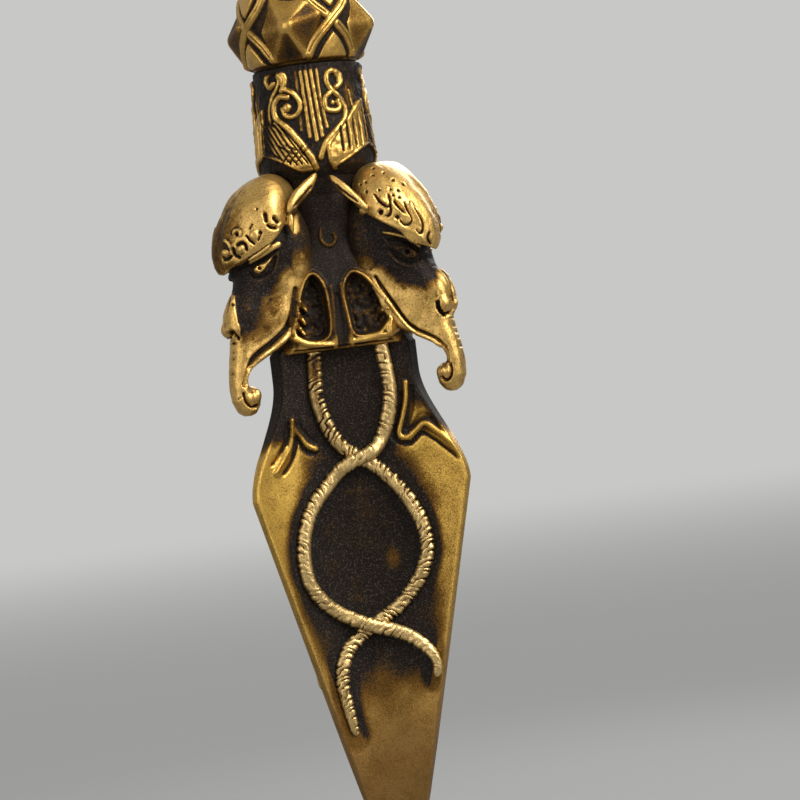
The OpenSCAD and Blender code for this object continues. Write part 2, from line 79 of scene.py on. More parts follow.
def ease(t: Array) -> Array:
    """Runs smoothly from 0 to 1 as t goes from 0 to 1, and stays there."""
    t = np.clip(t, 0.0, 1.0)
    return t * t * (3.0 - 2.0 * t)


def mix(a: Array, b: Array, t: Array) -> Array:
    """Goes from a to b as t goes from 0 to 1."""
    return a + (b - a) * t


def smooth_line(line: Line, steps: int = 4) -> Array:
    """Rounds a line into a curve through its points.

    Args:
        line: the points that the curve passes.
        steps: how many pieces each stretch is cut into.

    Returns:
        The curve's points, one row each.
    """
    p = np.asarray(line, float)
    if len(p) < 3:
        return p
    before = np.vstack([p[:1], p[:-2]])
    a, b, after = p[:-1], p[1:], np.vstack([p[2:], p[-1:]])
    t = np.linspace(0, 1, steps, endpoint=False)[None, :, None]
    a, b, before, after = (q[:, None, :] for q in (a, b, before, after))
    curve = 0.5 * (
        2 * a
        + (b - before) * t
        + (2 * before - 5 * a + 4 * b - after) * t**2
        + (3 * a - before - 3 * b + after) * t**3
    )
    return np.vstack([curve.reshape(-1, p.shape[1]), p[-1:]])


def directions(line: Array) -> Array:
    """Finds the unit directions along a line.

    Args:
        line: the line's points. Its first two and its last two may be the same.

    Returns:
        The directions, one row for each point.
    """
    ahead = np.gradient(line, axis=0)
    ahead[0], ahead[-1] = ahead[1], ahead[-2]
    return ahead / np.linalg.norm(ahead, axis=1, keepdims=True)


def nearest(x: Array, y: Array, line: Line) -> tuple[Array, Array]:
    """Measures how far points lie from a line.

    Args:
        x: the points' places across.
        y: the points' places up.
        line: the line's own points.

    Returns:
        The distance of each point, and the share of the line's length where its foot lies.
    """
    p = np.asarray(line, float)
    step = np.diff(p, axis=0)
    length = np.hypot(step[:, 0], step[:, 1])
    start = np.concatenate([[0.0], np.cumsum(length)])
    best = np.full(np.shape(x), 1e9)
    share = np.zeros(np.shape(x))
    for q, s, size, begun in zip(p[:-1], step, length, start[:-1]):
        t = np.clip(((x - q[0]) * s[0] + (y - q[1]) * s[1]) / max(size * size, 1e-12), 0, 1)
        gap = np.hypot(x - q[0] - t * s[0], y - q[1] - t * s[1])
        closer = gap < best
        best = np.where(closer, gap, best)
        share = np.where(closer, (begun + t * size) / start[-1], share)
    return best, share


def depth_inside(x: Array, y: Array, outline: Line) -> Array:
    """Measures how deep points lie inside a closed outline.

    Args:
        x: the points' places across.
        y: the points' places up.
        outline: the outline's own points, without the first one again at the end.

    Returns:
        The distance of each point from the outline, which is negative outside.
    """
    ring = np.vstack([np.asarray(outline, float), np.asarray(outline[:1], float)])
    odd = np.zeros(np.shape(x), bool)
    for (x0, y0), (x1, y1) in zip(ring[:-1], ring[1:]):
        if y0 == y1:
            continue
        crosses = (y0 > y) != (y1 > y)
        odd ^= crosses & (x < x0 + (y - y0) * (x1 - x0) / (y1 - y0))
    gap, _ = nearest(x, y, ring)
    return np.where(odd, gap, -gap)


def speckle(x: Array, y: Array, size: float, seed: int) -> Array:
    """Makes smooth noise that is the same on every run.

    Args:
        x: the points' places across.
        y: the points' places up.
        size: how large the grains are, in millimetres.
        seed: which noise it is.

    Returns:
        The noise at each point, from -1 to 1.
    """
    cells = 64
    table = np.random.default_rng(seed).uniform(-1, 1, (cells, cells))
    u, v = np.asarray(x) / size, np.asarray(y) / size
    i, j = np.floor(u).astype(int), np.floor(v).astype(int)
    s, t = ease(u - i), ease(v - j)
    low, high = (
        mix(table[i % cells, row % cells], table[(i + 1) % cells, row % cells], s) for row in (j, j + 1)
    )
    return mix(low, high, t)


def bell(x: Array, width: float) -> Array:
    """1 where x is 0, falling off softly on both sides."""
    return np.exp(-((x / width) ** 2))


def distances(line: Array) -> Array:
    """How far along a drawn line each of its points lies."""
    return np.concatenate([[0.0], np.cumsum(np.hypot(*np.diff(line[:, :2], axis=0).T))])


def azimuth(skin: Array) -> Array:
    """Degrees of places round the part's axis."""
    return np.degrees(np.arctan2(skin[..., 1], skin[..., 0]))


def from_face(degrees: Array) -> Array:
    """Turns degrees round the axis into degrees from the middle of the nearest face."""
    return (degrees - FRONT + THIRD / 2) % THIRD - THIRD / 2


def around(r: Array, a: Array, z: Array) -> Array:
    """Places at a reach from the axis, an angle in radians and a height."""
    return np.stack([r * np.cos(a), r * np.sin(a), z], -1)


# Ornament drawn on a face


@dataclass(frozen=True)
class Stroke:
    """A rounded line of ornament: raised where height is positive, cut in where it is negative."""

    line: Line
    half_width: float
    height: float
    taper: bool = False

    def lift(self, x: Array, y: Array) -> Array:
        """Gives the stroke's height on the face.

        Args:
            x: the points' places across.
            y: the points' places up.

        Returns:
            The height at each point.
        """
        gap, share = nearest(x, y, smooth_line(self.line))
        width = self.half_width
        if self.taper:
            width = width * np.sqrt(np.clip(1.02 - (2 * share - 1) ** 4, 0, 1))
        return self.height * np.clip(1 - (gap / width) ** 2, 0, 1) ** 0.6


@dataclass(frozen=True)
class Ball:
    """A round boss or a drilled dot."""

    at: tuple[float, float]
    radius: float
    height: float

    def lift(self, x: Array, y: Array) -> Array:
        """Height of the ball at each point of the face."""
        gap = np.hypot(x - self.at[0], y - self.at[1])
        return self.height * np.clip(1 - (gap / self.radius) ** 2, 0, 1) ** 0.6


@dataclass(frozen=True)
class Patch:
    """A raised or sunk area with a sloping border."""

    outline: Line
    height: float
    border: float = 0.5

    def lift(self, x: Array, y: Array) -> Array:
        """Height of the patch at each point of the face."""
        return self.height * ease(depth_inside(x, y, smooth_line(self.outline)) / self.border)


Ornament = Stroke | Ball | Patch


def relief(x: Array, y: Array, ornaments: Sequence[Ornament]) -> Array:
    """Adds up ornaments: raised ones don't pile up on each other, nor do sunk ones.

    Args:
        x: the points' places across.
        y: the points' places up.
        ornaments: what is drawn there.

    Returns:
        The height of the face at each point.
    """
    up, down = np.zeros(np.shape(x)), np.zeros(np.shape(x))
    for one in ornaments:
        lift = one.lift(x, y)
        up, down = np.maximum(up, lift), np.minimum(down, lift)
    return up + down


# Blender by hand


def deselect_all() -> None:
    """Leaves nothing selected, so that an operator acts only on what is picked next."""
    if bpy.context.object and bpy.context.object.mode != "OBJECT":
        bpy.ops.object.mode_set(mode="OBJECT")
    bpy.ops.object.select_all(action="DESELECT")


def pick(piece: Object, *others: Object) -> None:
    """Selects pieces and makes the first the active one.

    Args:
        piece: the piece to make active.
        others: more pieces to select.
    """
    deselect_all()
    for one in (piece, *others):
        one.select_set(True)
    bpy.context.view_layer.objects.active = piece


def per_vertex(piece: Object, what: str) -> Array:
    """Reads three numbers of each of a mesh's vertices.

    Args:
        piece: the mesh object.
        what: the name that Blender gives those numbers.

    Returns:
        One row for each vertex.
    """
    flat = np.empty(len(piece.data.vertices) * 3)
    piece.data.vertices.foreach_get(what, flat)
    return flat.reshape(-1, 3)


def points(piece: Object) -> Array:
    """Places of a mesh's vertices, one row each."""
    return per_vertex(piece, "co")


def normals(piece: Object) -> Array:
    """Outward directions at a mesh's vertices, one row each."""
    return per_vertex(piece, "normal")


def place_points(piece: Object, places: Array) -> None:
    """Moves a mesh's vertices to new places."""
    piece.data.vertices.foreach_set("co", np.ascontiguousarray(places, float).ravel())
    piece.data.update()


def neighbours_mean(piece: Object, values: Array, rounds: int) -> Array:
    """Averages values over each vertex's neighbours.

    Args:
        piece: the mesh.
        values: the values, one row for each vertex.
        rounds: how often they are averaged.

    Returns:
        The softened values.
    """
    ends = np.empty(len(piece.data.edges) * 2, np.int32)
    piece.data.edges.foreach_get("vertices", ends)
    i, j = ends.reshape(-1, 2).T
    size = len(values)
    count = np.maximum(np.bincount(i, minlength=size) + np.bincount(j, minlength=size), 1)
    soft = values.copy()
    for _ in range(rounds):
        sums = [np.bincount(i, row[j], size) + np.bincount(j, row[i], size) for row in soft.T]
        soft = np.stack(sums, axis=1) / count[:, None]
    return soft


def hollows(piece: Object, rounds: int) -> Array:
    """How deep each vertex lies in a hollow, in millimetres; on a ridge it is negative."""
    places = points(piece)
    return ((neighbours_mean(piece, places, rounds) - places) * normals(piece)).sum(axis=1)


def use_modifier(piece: Object, kind: str, **settings: object) -> None:
    """Adds a modifier and applies it.

    Args:
        piece: the piece that it works on.
        kind: the modifier's type.
        settings: the modifier's own settings.
    """
    pick(piece)
    modifier = piece.modifiers.new(kind.title(), kind)
    for name, value in settings.items():
        setattr(modifier, name, value)
    bpy.ops.object.modifier_apply(modifier=modifier.name)


def turned(places: Array, degrees: float) -> Array:
    """Turns places about the part's axis.

    Args:
        places: rows of places.
        degrees: the turn, leftwards as seen from above.

    Returns:
        The turned places.
    """
    a = math.radians(degrees)
    turn = np.array([[math.cos(a), -math.sin(a), 0], [math.sin(a), math.cos(a), 0], [0, 0, 1]])
    return places @ turn.T


def open_all() -> None:
    """Opens the active piece in edit mode with all of it selected."""
    bpy.ops.object.mode_set(mode="EDIT")
    bpy.ops.mesh.select_all(action="SELECT")


def close_outwards() -> None:
    """Turns all faces of the piece in edit mode outwards and leaves it."""
    bpy.ops.mesh.select_all(action="SELECT")
    bpy.ops.mesh.normals_make_consistent(inside=False)
    bpy.ops.object.mode_set(mode="OBJECT")


def wrapped_grid(name: str, columns: int, rows: int, shape: Callable[[Array, Array], Array]) -> Object:
    """Wraps a grid round into one closed piece.

    Args:
        name: the piece's name.
        columns: how many faces go round.
        rows: how many faces go along.
        shape: gives the places for shares of the way round and of the way along. Its first and
            last row are single points, which close the ends, or the same ring.

    Returns:
        The piece, in millimetres.
    """
    deselect_all()
    bpy.ops.mesh.primitive_grid_add(x_subdivisions=columns, y_subdivisions=rows, size=2)
    piece = bpy.context.object
    piece.name = piece.data.name = name
    flat = points(piece)
    across = len(np.unique(np.round(flat[:, 0], 6)))
    grid = (flat[:, :2].reshape(-1, across, 2) + 1) / 2
    place_points(piece, shape(grid[..., 0], grid[..., 1]).reshape(-1, 3))
    open_all()
    bpy.ops.mesh.remove_doubles(threshold=1e-4)
    bpy.ops.mesh.dissolve_degenerate(threshold=1e-5)
    close_outwards()
    return piece


def capped(v: Array) -> tuple[Array, Array]:
    """Splits shares of the way along into closed ends and the body between them.

    Args:
        v: shares of the way along, one row of the grid each.

    Returns:
        The share of the section's size, 0 on the first and last row, and the share of the height.
    """
    step = v[1, 0] - v[0, 0]
    size = ((v > step / 2) & (v < 1 - step / 2)).astype(float)
    return size, np.clip((v - step) / (1 - 2 * step), 0, 1)


def ellipsoid(centre: Sequence[float], semi: Sequence[float], tilt: float = 0.0) -> Object:
    """Adds an ellipsoid.

    Args:
        centre: its middle.
        semi: its half sizes.
        tilt: degrees that it is turned by about the sideways axis.

    Returns:
        The piece, in millimetres.
    """
    deselect_all()
    bpy.ops.mesh.primitive_uv_sphere_add(
        segments=64, ring_count=40, radius=1, location=centre, rotation=(0, math.radians(tilt), 0)
    )
    piece = bpy.context.object
    piece.scale = semi
    bpy.ops.object.transform_apply(location=True, rotation=True, scale=True)
    return piece


def fused(name: str, parts: Sequence[Object], voxel: float, rounds: int) -> Object:
    """Melts overlapping parts into one closed skin.

    Args:
        name: the new piece's name.
        parts: the parts, in millimetres.
        voxel: how fine the skin is, in millimetres.
        rounds: how often the skin is smoothed.

    Returns:
        The piece, in millimetres.
    """
    pick(*parts)
    if len(parts) > 1:
        bpy.ops.object.join()
    piece = bpy.context.object
    piece.name = piece.data.name = name
    use_modifier(piece, "REMESH", mode="VOXEL", voxel_size=voxel)
    use_modifier(piece, "SMOOTH", factor=0.5, iterations=rounds)
    return piece


def paint(piece: Object, clean: Array) -> None:
    """Stores how clean of patina each vertex is, with the painted shade and highlights that some
    pieces add: 0 is dark and 1 is bare metal.
    """
    layer = piece.data.attributes.new("patina", "FLOAT", "POINT")
    layer.data.foreach_set("value", np.clip(clean, 0.0, 1.0))


# Finishes


def linear(hex_colour: str) -> tuple[float, float, float, float]:
    """Turns an sRGB hex colour into the linear one that a shader wants.

    Args:
        hex_colour: the colour, such as #C8A04A.

    Returns:
        Its red, green and blue, and full opacity.
    """
    channels = [int(hex_colour[k : k + 2], 16) / 255 for k in (1, 3, 5)]
    curved = [c / 12.92 if c <= 0.04045 else ((c + 0.055) / 1.055) ** 2.4 for c in channels]
    return (*curved, 1.0)


def add_node(
    tree: bpy.types.NodeTree, kind: str, inputs: dict[str, object] | None = None, **settings: object
) -> bpy.types.Node:
    """Adds a node, sets it up and feeds its inputs.

    Args:
        tree: the material's or the world's nodes.
        kind: the node's type.
        inputs: a value, or another node's output, for each input by its identifier.
        settings: the node's own settings.

    Returns:
        The node.
    """
    node = tree.nodes.new(kind)
    for name, value in settings.items():
        setattr(node, name, value)
    sockets = {socket.identifier: socket for socket in node.inputs}
    for name, value in (inputs or {}).items():
        if isinstance(value, bpy.types.NodeSocket):
            tree.links.new(value, sockets[name])
        else:
            sockets[name].default_value = value
    return node


def bare_tree(blocks: bpy.types.bpy_prop_collection, name: str) -> tuple[bpy.types.ID, bpy.types.NodeTree]:
    """Makes a new material or world with an empty node tree.

    Args:
        blocks: Blender's list of materials or of worlds.
        name: the new one's name.

    Returns:
        The material or world, and its tree.
    """
    block = blocks.new(name)
    block.use_nodes = True
    block.node_tree.nodes.clear()
    return block, block.node_tree


# a map-range node's inputs, and the place of the colour among a mix node's outputs
RANGE = ("Value", "From Min", "From Max", "To Min", "To Max")
MIXED = 2


@dataclass(frozen=True)
class CastBrass:
    """Cast brass: patina stays in its hollows, and handling polishes what stands out.

    clean, worn and dark are the colours of bare metal, thin patina and thick patina, and low is
    the bare metal's colour near the point, where that differs. grains is the grey of flecks that
    paint glints of light into the thick patina. grain and speck are the real sizes of the cast skin's
    blotches and pits in millimetres, and ragged says how far they break up the patina's edge. sand
    and bloom are the sizes of the bare metal's fine and broad dull spots, pitting is how deep the
    pits are, and wax is the weight of the film that handling leaves.
    """

    name: str
    clean: str = "#C9A052"
    worn: str = "#67491F"
    dark: str = "#130C07"
    grains: str = "#5A5148"
    clean_rough: float = 0.46
    dark_rough: float = 0.6
    grain: float = 0.55
    speck: float = 0.24
    sand: float = 0.16
    bloom: float = 2.6
    ragged: float = 0.34
    pitting: float = 0.035
    wax: float = 0.2
    low: str | None = None
    low_heights: tuple[float, float] = (18.0, 70.0)
    blotch_share: float = 0.6
    pit_share: float = 1.4

    def material(self) -> bpy.types.Material:
        """Builds the metal, which reads the patina painted on the mesh, with the painted shade and
        painted highlights that some pieces add to it.

        Returns:
            The finished material.
        """
        material, tree = bare_tree(bpy.data.materials, self.name)
        add = partial(add_node, tree)
        place = add("ShaderNodeTexCoord").outputs["Object"]
        patina = add("ShaderNodeAttribute", attribute_name="patina").outputs["Fac"]
        # blotches and pits of the cast skin, then the bare metal's own sandy and dull spots
        noises = ((self.grain, 2.0), (self.speck, 1.0), (self.sand, 1.0), (self.bloom, 3.0))
        blotch, pits, sand, broad = (
            add("ShaderNodeTexNoise", {"Vector": place, "Scale": 1 / (mm * MM), "Detail": detail}).outputs[0]
            for mm, detail in noises
        )
        cleaned = self.ragged_edge(add, patina, blotch, pits)
        # thin patina turns to thick under a half, and to bare metal over it; a film of wax gives
        # handled metal its pale glints, and grey flecks in thick patina are painted glints of light
        ranges = {
            "thin": (cleaned, 0.05, 0.46, 0.0, 1.0),
            "bare": (cleaned, 0.34, 0.82, 0.0, 1.0),
            "sandy": (sand, 0.46, 0.72, 0.0, 0.55),
            "duller": (broad, 0.45, 0.75, 0.0, 0.3),
            "glinting": (sand, 0.52, 0.72, 0.0, 0.36),
            "metallic": (cleaned, 0.0, 0.4, 0.2, 1.0),
            "roughness": (cleaned, 0.1, 0.8, self.dark_rough, self.clean_rough),
            "wax": (cleaned, 0.5, 0.95, 0.0, self.wax),
        }
        if self.low:
            height = add("ShaderNodeSeparateXYZ", {"Vector": place}).outputs["Z"]
            start, end = (z * MM for z in self.low_heights)
            ranges["risen"] = (height, start, end, 0.0, 1.0)
        share = {
            name: add("ShaderNodeMapRange", dict(zip(RANGE, row)), interpolation_type="SMOOTHSTEP").outputs[0]
            for name, row in ranges.items()
        }
        spots = {"Value": share["sandy"], "Value_001": share["duller"]}
        share["spotted"] = add("ShaderNodeMath", spots, operation="ADD").outputs[0]
        # each row mixes two colours into a third by a share
        mixes = [
            ("metal", "spotted", "metal", "worn"),
            ("thick", "glinting", "dark", "grains"),
            ("patina", "thin", "thick", "worn"),
            ("skin", "bare", "patina", "metal"),
        ]
        colour = {name: linear(getattr(self, name)) for name in ("clean", "worn", "dark", "grains")}
        colour["metal"] = colour["clean"]
        if self.low:
            colour["low"] = linear(self.low)
            mixes.insert(0, ("metal", "risen", "low", "clean"))
        for name, by, first, second in mixes:
            inputs = {"Factor_Float": share[by], "A_Color": colour[first], "B_Color": colour[second]}
            colour[name] = add("ShaderNodeMix", inputs, data_type="RGBA").outputs[MIXED]
        grit = add("ShaderNodeMath", {"Value": sand, "Value_001": pits}, operation="ADD").outputs[0]
        bump = add("ShaderNodeBump", {"Strength": 0.6, "Distance": self.pitting * MM, "Height": grit})
        shader = add(
            "ShaderNodeBsdfPrincipled",
            {
                "Base Color": colour["skin"],
                "Metallic": share["metallic"],
                "Specular IOR Level": 0.14,
                "Roughness": share["roughness"],
                "Coat Weight": share["wax"],
                "Coat Roughness": 0.22,
                "Normal": bump.outputs["Normal"],
            },
        )
        add("ShaderNodeOutputMaterial", {"Surface": shader.outputs["BSDF"]})
        return material

    def ragged_edge(
        self, add: Callable[..., bpy.types.Node], patina: object, blotch: object, pits: object
    ) -> bpy.types.NodeSocket:
        """Lets blotches and pits break up the patina that is painted on the mesh.

        Args:
            add: adds a node to the material's tree.
            patina: the painted patina.
            blotch: the noise of the blotches.
            pits: the noise of the pits.

        Returns:
            How clean the skin is, with a ragged edge between patina and metal.
        """
        value = pits
        steps = (
            ("MULTIPLY", (value, self.pit_share)),
            ("MULTIPLY_ADD", (blotch, self.blotch_share, None)),
            ("MULTIPLY_ADD", (None, self.ragged, -self.ragged)),
            ("ADD", (patina, None)),
        )
        # None stands for what the step before gave
        for operation, terms in steps:
            filled = [value if term is None else term for term in terms]
            inputs = dict(zip(("Value", "Value_001", "Value_002"), filled))
            value = add("ShaderNodeMath", inputs, operation=operation).outputs[0]
        return value


@dataclass(frozen=True)
class PlainSteel:
    """Plain turned steel of the hidden nut."""

    name: str = "Turned_Steel"

    def material(self) -> bpy.types.Material:
        """Builds a grey metal with a satin shine.

        Returns:
            The finished material.
        """
        material = bpy.data.materials.new(self.name)
        material.use_nodes = True
        shader = material.node_tree.nodes["Principled BSDF"]
        shader.inputs["Base Color"].default_value = linear("#8C8D90")
        shader.inputs["Metallic"].default_value = 1.0
        shader.inputs["Roughness"].default_value = 0.35
        return material


@dataclass
class SubAssembly:
    """Anything that dresses part of the dagger in one finish."""

    material: bpy.types.Material

    def dress(self, piece: Object, slot: Slot, *nodes: str) -> None:
        """Turns a piece into metres, gives it its finish and says what it stands for.

        Args:
            piece: the piece, still in millimetres.
            slot: the record's slot for its finish; it is not used.
            nodes: the CAD nodes that it replaces.
        """
        place_points(piece, points(piece) * MM)
        piece.data.materials.clear()
        piece.data.materials.append(self.material)
        pick(piece)
        bpy.ops.object.shade_smooth()
        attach(piece, BODY)
        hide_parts(*nodes)
        log.info("%s: %d faces for %s", piece.name, len(piece.data.polygons), ", ".join(nodes))


# Blade and serpents


@dataclass(frozen=True)
class BladeForm:
    """The blade's form, the same as in the part's source: three flanges with hollow faces."""

    length: float = 95.5
    wide_z: float = 71.5
    waist_z: float = 91.0
    widest: float = 20.9
    waist: float = 13.5
    half_edge_wide: float = 0.9
    half_edge_waist: float = 1.7
    flute_wide: float = 5.6
    flute_waist: float = 1.9
    flute_power: float = 2.3
    tip_reach: float = 0.5
    taper_power: float = 0.96
    half_edge_tip: float = 0.25
    half_edge_run: float = 30.0
    flute_foot: float = 12.0
    flute_short: float = 16.0

    def shoulder(self, z: Array) -> Array:
        """Share of the way from the widest place up to the waist."""
        return ease((z - self.wide_z) / (self.waist_z - self.wide_z))

    def reach(self, z: Array) -> Array:
        """Reach of a flange from the axis.

        Args:
            z: heights above the point.

        Returns:
            The reach at each.
        """
        share = (np.clip(z, 0, None) / self.wide_z) ** self.taper_power
        tapered = mix(self.tip_reach, self.widest, share)
        return np.where(z < self.wide_z, tapered, mix(self.widest, self.waist, self.shoulder(z)))

    def half_edge(self, z: Array) -> Array:
        """Half the thickness of a flange's outer edge.

        Args:
            z: heights above the point.

        Returns:
            The half thickness at each.
        """
        low = mix(self.half_edge_tip, self.half_edge_wide, ease(z / self.half_edge_run))
        high = mix(self.half_edge_wide, self.half_edge_waist, self.shoulder(z))
        return np.where(z < self.wide_z, low, high)

    def flute(self, z: Array) -> Array:
        """Depth of a face's hollow."""
        low = self.flute_wide * ease((z - self.flute_foot) / (self.wide_z - self.flute_short))
        return np.where(z < self.wide_z, low, mix(self.flute_wide, self.flute_waist, self.shoulder(z)))

    def half_face(self, z: Array) -> Array:
        """Half the width of a face."""
        return self.reach(z) * math.cos(math.pi / 6) - self.half_edge(z) * 0.5

    def corner(self, z: Array) -> Array:
        """Distance of a face's corners from the axis, straight out from the face."""
        return self.reach(z) * 0.5 + self.half_edge(z) * math.cos(math.pi / 6)

    def face(self, x: Array, z: Array) -> Array:
        """Distance of a face from the axis."""
        share = np.minimum(1, np.abs(x) / self.half_face(z))
        return self.corner(z) - self.flute(z) * (1 - share**self.flute_power)


SERPENT_OVER: Line = (
    (6.3, 95.4), (6.6, 92.1), (6.8, 89.1), (6.7, 86.2), (6.0, 83.3), (4.7, 80.2), (3.0, 78.1), (0.8, 77.0),
    (-1.2, 76.3), (-3.4, 75.0), (-5.6, 72.8), (-8.0, 70.1), (-9.8, 67.0), (-10.7, 63.5), (-10.9, 59.6),
    (-10.3, 56.5), (-8.5, 53.6), (-5.9, 51.2), (-3.1, 49.6), (-0.6, 48.5), (2.1, 47.6), (4.9, 46.2),
    (7.3, 44.3), (8.8, 42.4), (9.2, 40.6), (8.8, 38.7),
)
SERPENT_UNDER: Line = (
    (-4.9, 95.4), (-5.3, 91.1), (-5.4, 87.7), (-4.9, 85.1), (-3.9, 82.0), (-2.2, 79.3), (0.2, 77.2),
    (2.7, 75.5), (4.6, 73.7), (6.7, 71.0), (8.3, 68.1), (9.6, 64.9), (10.0, 61.6), (9.6, 59.0), (8.4, 56.1),
    (6.3, 53.4), (4.1, 51.3), (1.9, 49.9), (-0.6, 48.5), (-2.9, 47.0), (-5.2, 45.0), (-6.5, 42.2),
    (-6.9, 39.2), (-6.6, 36.2), (-6.1, 32.7), (-5.7, 30.6),
)
CROSSINGS: Line = ((0.4, 76.9), (-0.6, 48.5))


@dataclass
class Blade(SubAssembly):
    """The three-sided blade with the leaves on its shoulders and the rod up through the hilt."""

    form: BladeForm = field(default_factory=BladeForm)
    columns: int = 420
    rows: int = 228
    face_share: float = 0.885
    # where the rows of the grid stand: each share of the rows, and its height up to the rod's top
    row_heights: Line = ((0, 0), (0.34, 60), (0.82, 90), (0.985, 95.5), (0.99, 95.5), (1, 208.5))
    # past this share the rows are the rod's
    rod_share: float = 0.987
    rod_radius: float = 2.5
    # up, then how far the bare metal reaches in from the right and from the left flange
    bare_bands: tuple[tuple[float, float, float], ...] = (
        (38, 3.4, 2.6), (41, 2.6, 1.4), (44, 1.8, 0.9), (48, 1.3, 0.7), (51, 1.9, 0.5), (53.5, 2.5, 0.4),
        (56, 3.3, 0.6), (63, 4.2, 1.9), (68.5, 5.6, 4.6), (70.6, 6.4, 6.6), (74, 8.0, 7.6), (77, 8.8, 7.2),
        (80, 5.0, 4.6), (84, 1.4, 1.2), (90, -1.5, -1.5), (95.5, -2.0, -2.0),
    )
    leaf_gold: Line = ((9.3, 80.9), (9.9, 86.5), (11.8, 86.0), (13.4, 82.4), (12.0, 82.4))
    leaves: tuple[Ornament, ...] = (
        Stroke(((9.6, 88.6), (9.3, 85.8), (8.5, 83.0), (7.6, 80.6), (7.9, 79.5), (9.1, 79.4),
                (10.6, 80.6), (11.9, 81.4), (13.2, 80.3), (14.5, 79.0), (15.8, 77.6),
                (17.0, 75.9)), 0.45, 0.5),
        Stroke(((10.5, 87.6), (10.3, 85.2), (9.6, 82.6), (9.0, 80.8), (10.0, 81.1), (11.9, 82.9),
                (14.2, 80.7), (16.6, 77.6)), 0.42, -0.5),
        Stroke(((8.6, 86.8), (7.6, 83.0), (6.7, 80.6), (7.0, 79.0), (9.2, 78.2), (11.2, 79.7),
                (12.6, 79.0), (14.8, 76.9), (16.7, 74.9)), 0.4, -0.42),
        Stroke(((-10.0, 84.6), (-10.6, 80.9), (-11.9, 78.6), (-13.9, 76.1)), 0.45, 0.5),
        Stroke(((-10.0, 83.3), (-9.0, 81.7), (-8.0, 80.1), (-6.6, 79.3)), 0.42, 0.45),
        Stroke(((-11.6, 80.2), (-12.6, 77.8), (-13.5, 75.6)), 0.3, 0.3),
        Stroke(((-9.8, 81.4), (-10.3, 79.4), (-11.2, 77.6), (-12.6, 75.9)), 0.42, -0.5),
        Stroke(((-9.4, 81.0), (-8.3, 79.0), (-6.9, 78.4)), 0.42, -0.45),
        Stroke(((-11.0, 84.0), (-11.5, 81.4), (-12.9, 79.4), (-14.5, 77.6)), 0.38, -0.5),
        Stroke(((-9.2, 84.0), (-8.0, 81.9), (-6.6, 80.4)), 0.3, -0.3),
    )

    def build(self) -> None:
        """Makes the blade and dresses it."""
        blade = wrapped_grid("phurba_blade", self.columns, self.rows, self.shape)
        paint(blade, self.clean(blade))
        self.dress(blade, Slot.BLADE, "blade")

    def shape(self, u: Array, v: Array) -> Array:
        """Shapes the blade: three hollow faces with a narrow edge after each, then the rod.

        Args:
            u: shares of the way round.
            v: shares of the way along.

        Returns:
            The places of the skin.
        """
        form = self.form
        size, t = capped(v)
        z = np.interp(t, *zip(*self.row_heights))
        face = np.minimum((u * 3).astype(int), 2)
        s = (u * 3 - face) / self.face_share
        across = np.clip(s * 2 - 1, -1, 1)
        across = mix(across, np.sin(across * math.pi / 2), 0.3)
        half, corner = form.half_face(z), form.corner(z)
        x = across * half
        swell = relief(x, z, self.leaves) + 0.05 * speckle(x + 40, z, 3.1, 5)
        out = form.face(x, z) + swell * ease((1 - np.abs(across)) / 0.04)
        # the outer edge of a flange runs from this face's right corner to the next one's left
        k = np.clip((s - 1) / (1 / self.face_share - 1), 0, 1)
        third = math.radians(THIRD)
        next_x = -half * math.cos(third) + corner * math.sin(third)
        next_out = corner * math.cos(third) + half * math.sin(third)
        on_edge = s > 1
        x = np.where(on_edge, mix(half, next_x, k), x)
        out = np.where(on_edge, mix(corner, next_out, k), out)
        a = np.radians(THIRD * face)
        skin = np.stack([x * np.cos(a) + out * np.sin(a), x * np.sin(a) - out * np.cos(a), z], -1)
        skin = self.rounded(skin, on_edge | (np.abs(across) > 0.965))
        # the rod, and the ends' single points
        rod = around(self.rod_radius, np.arctan2(skin[..., 1], skin[..., 0]), z)
        skin = np.where((t > self.rod_share)[..., None], rod, skin)
        skin[..., :2] *= size[..., None]
        return skin

    @staticmethod
    def rounded(skin: Array, near_corner: Array, rounds: int = 5) -> Array:
        """Softens the flanges' corners, ring by ring.

        Args:
            skin: the places.
            near_corner: where the skin is near a corner.
            rounds: how often it is softened.

        Returns:
            The places, with round corners.
        """
        body, weight = skin[:, :-1].copy(), near_corner[:, :-1, None] * 0.5
        for _ in range(rounds):
            body += weight * ((np.roll(body, 1, 1) + np.roll(body, -1, 1)) / 2 - body)
        return np.concatenate([body, body[:, :1]], axis=1)

    def clean(self, blade: Object) -> Array:
        """Says how clean the blade is: dark between the serpents and on the shoulders, with painted shade
        under the collar, painted shadow beside the serpents and painted shade on each face's right half.

        Args:
            blade: the shaped blade.

        Returns:
            How clean each vertex is.
        """
        skin = points(blade)
        a = np.radians(-THIRD * np.round((azimuth(skin) + 90) / THIRD))
        x = skin[:, 0] * np.cos(a) - skin[:, 1] * np.sin(a)
        out = -(skin[:, 0] * np.sin(a) + skin[:, 1] * np.cos(a))
        z = skin[:, 2]
        rim = self.form.half_face(z) - np.abs(x)
        heights, right, left = zip(*self.bare_bands)
        band = np.where(x > 0, np.interp(z, heights, right), np.interp(z, heights, left))
        fade = 5.6 * np.clip(z / 66, 0.6, 1.0)
        # painted shade: the right half of each face is darker, as it turns away from the light
        clean = mix(np.where(x > 0, 0.7, 1.0), 0.06, ease((rim - band) / fade + 0.5))
        clean = mix(clean, 0.66, ease((43 - z) / 10))
        # patina and painted shadow in dark bands along both serpents
        for route in (SERPENT_OVER, SERPENT_UNDER):
            gap, _ = nearest(x, z, smooth_line(route))
            clean -= 0.75 * (1 - ease((gap - 1.1) / 2.2))
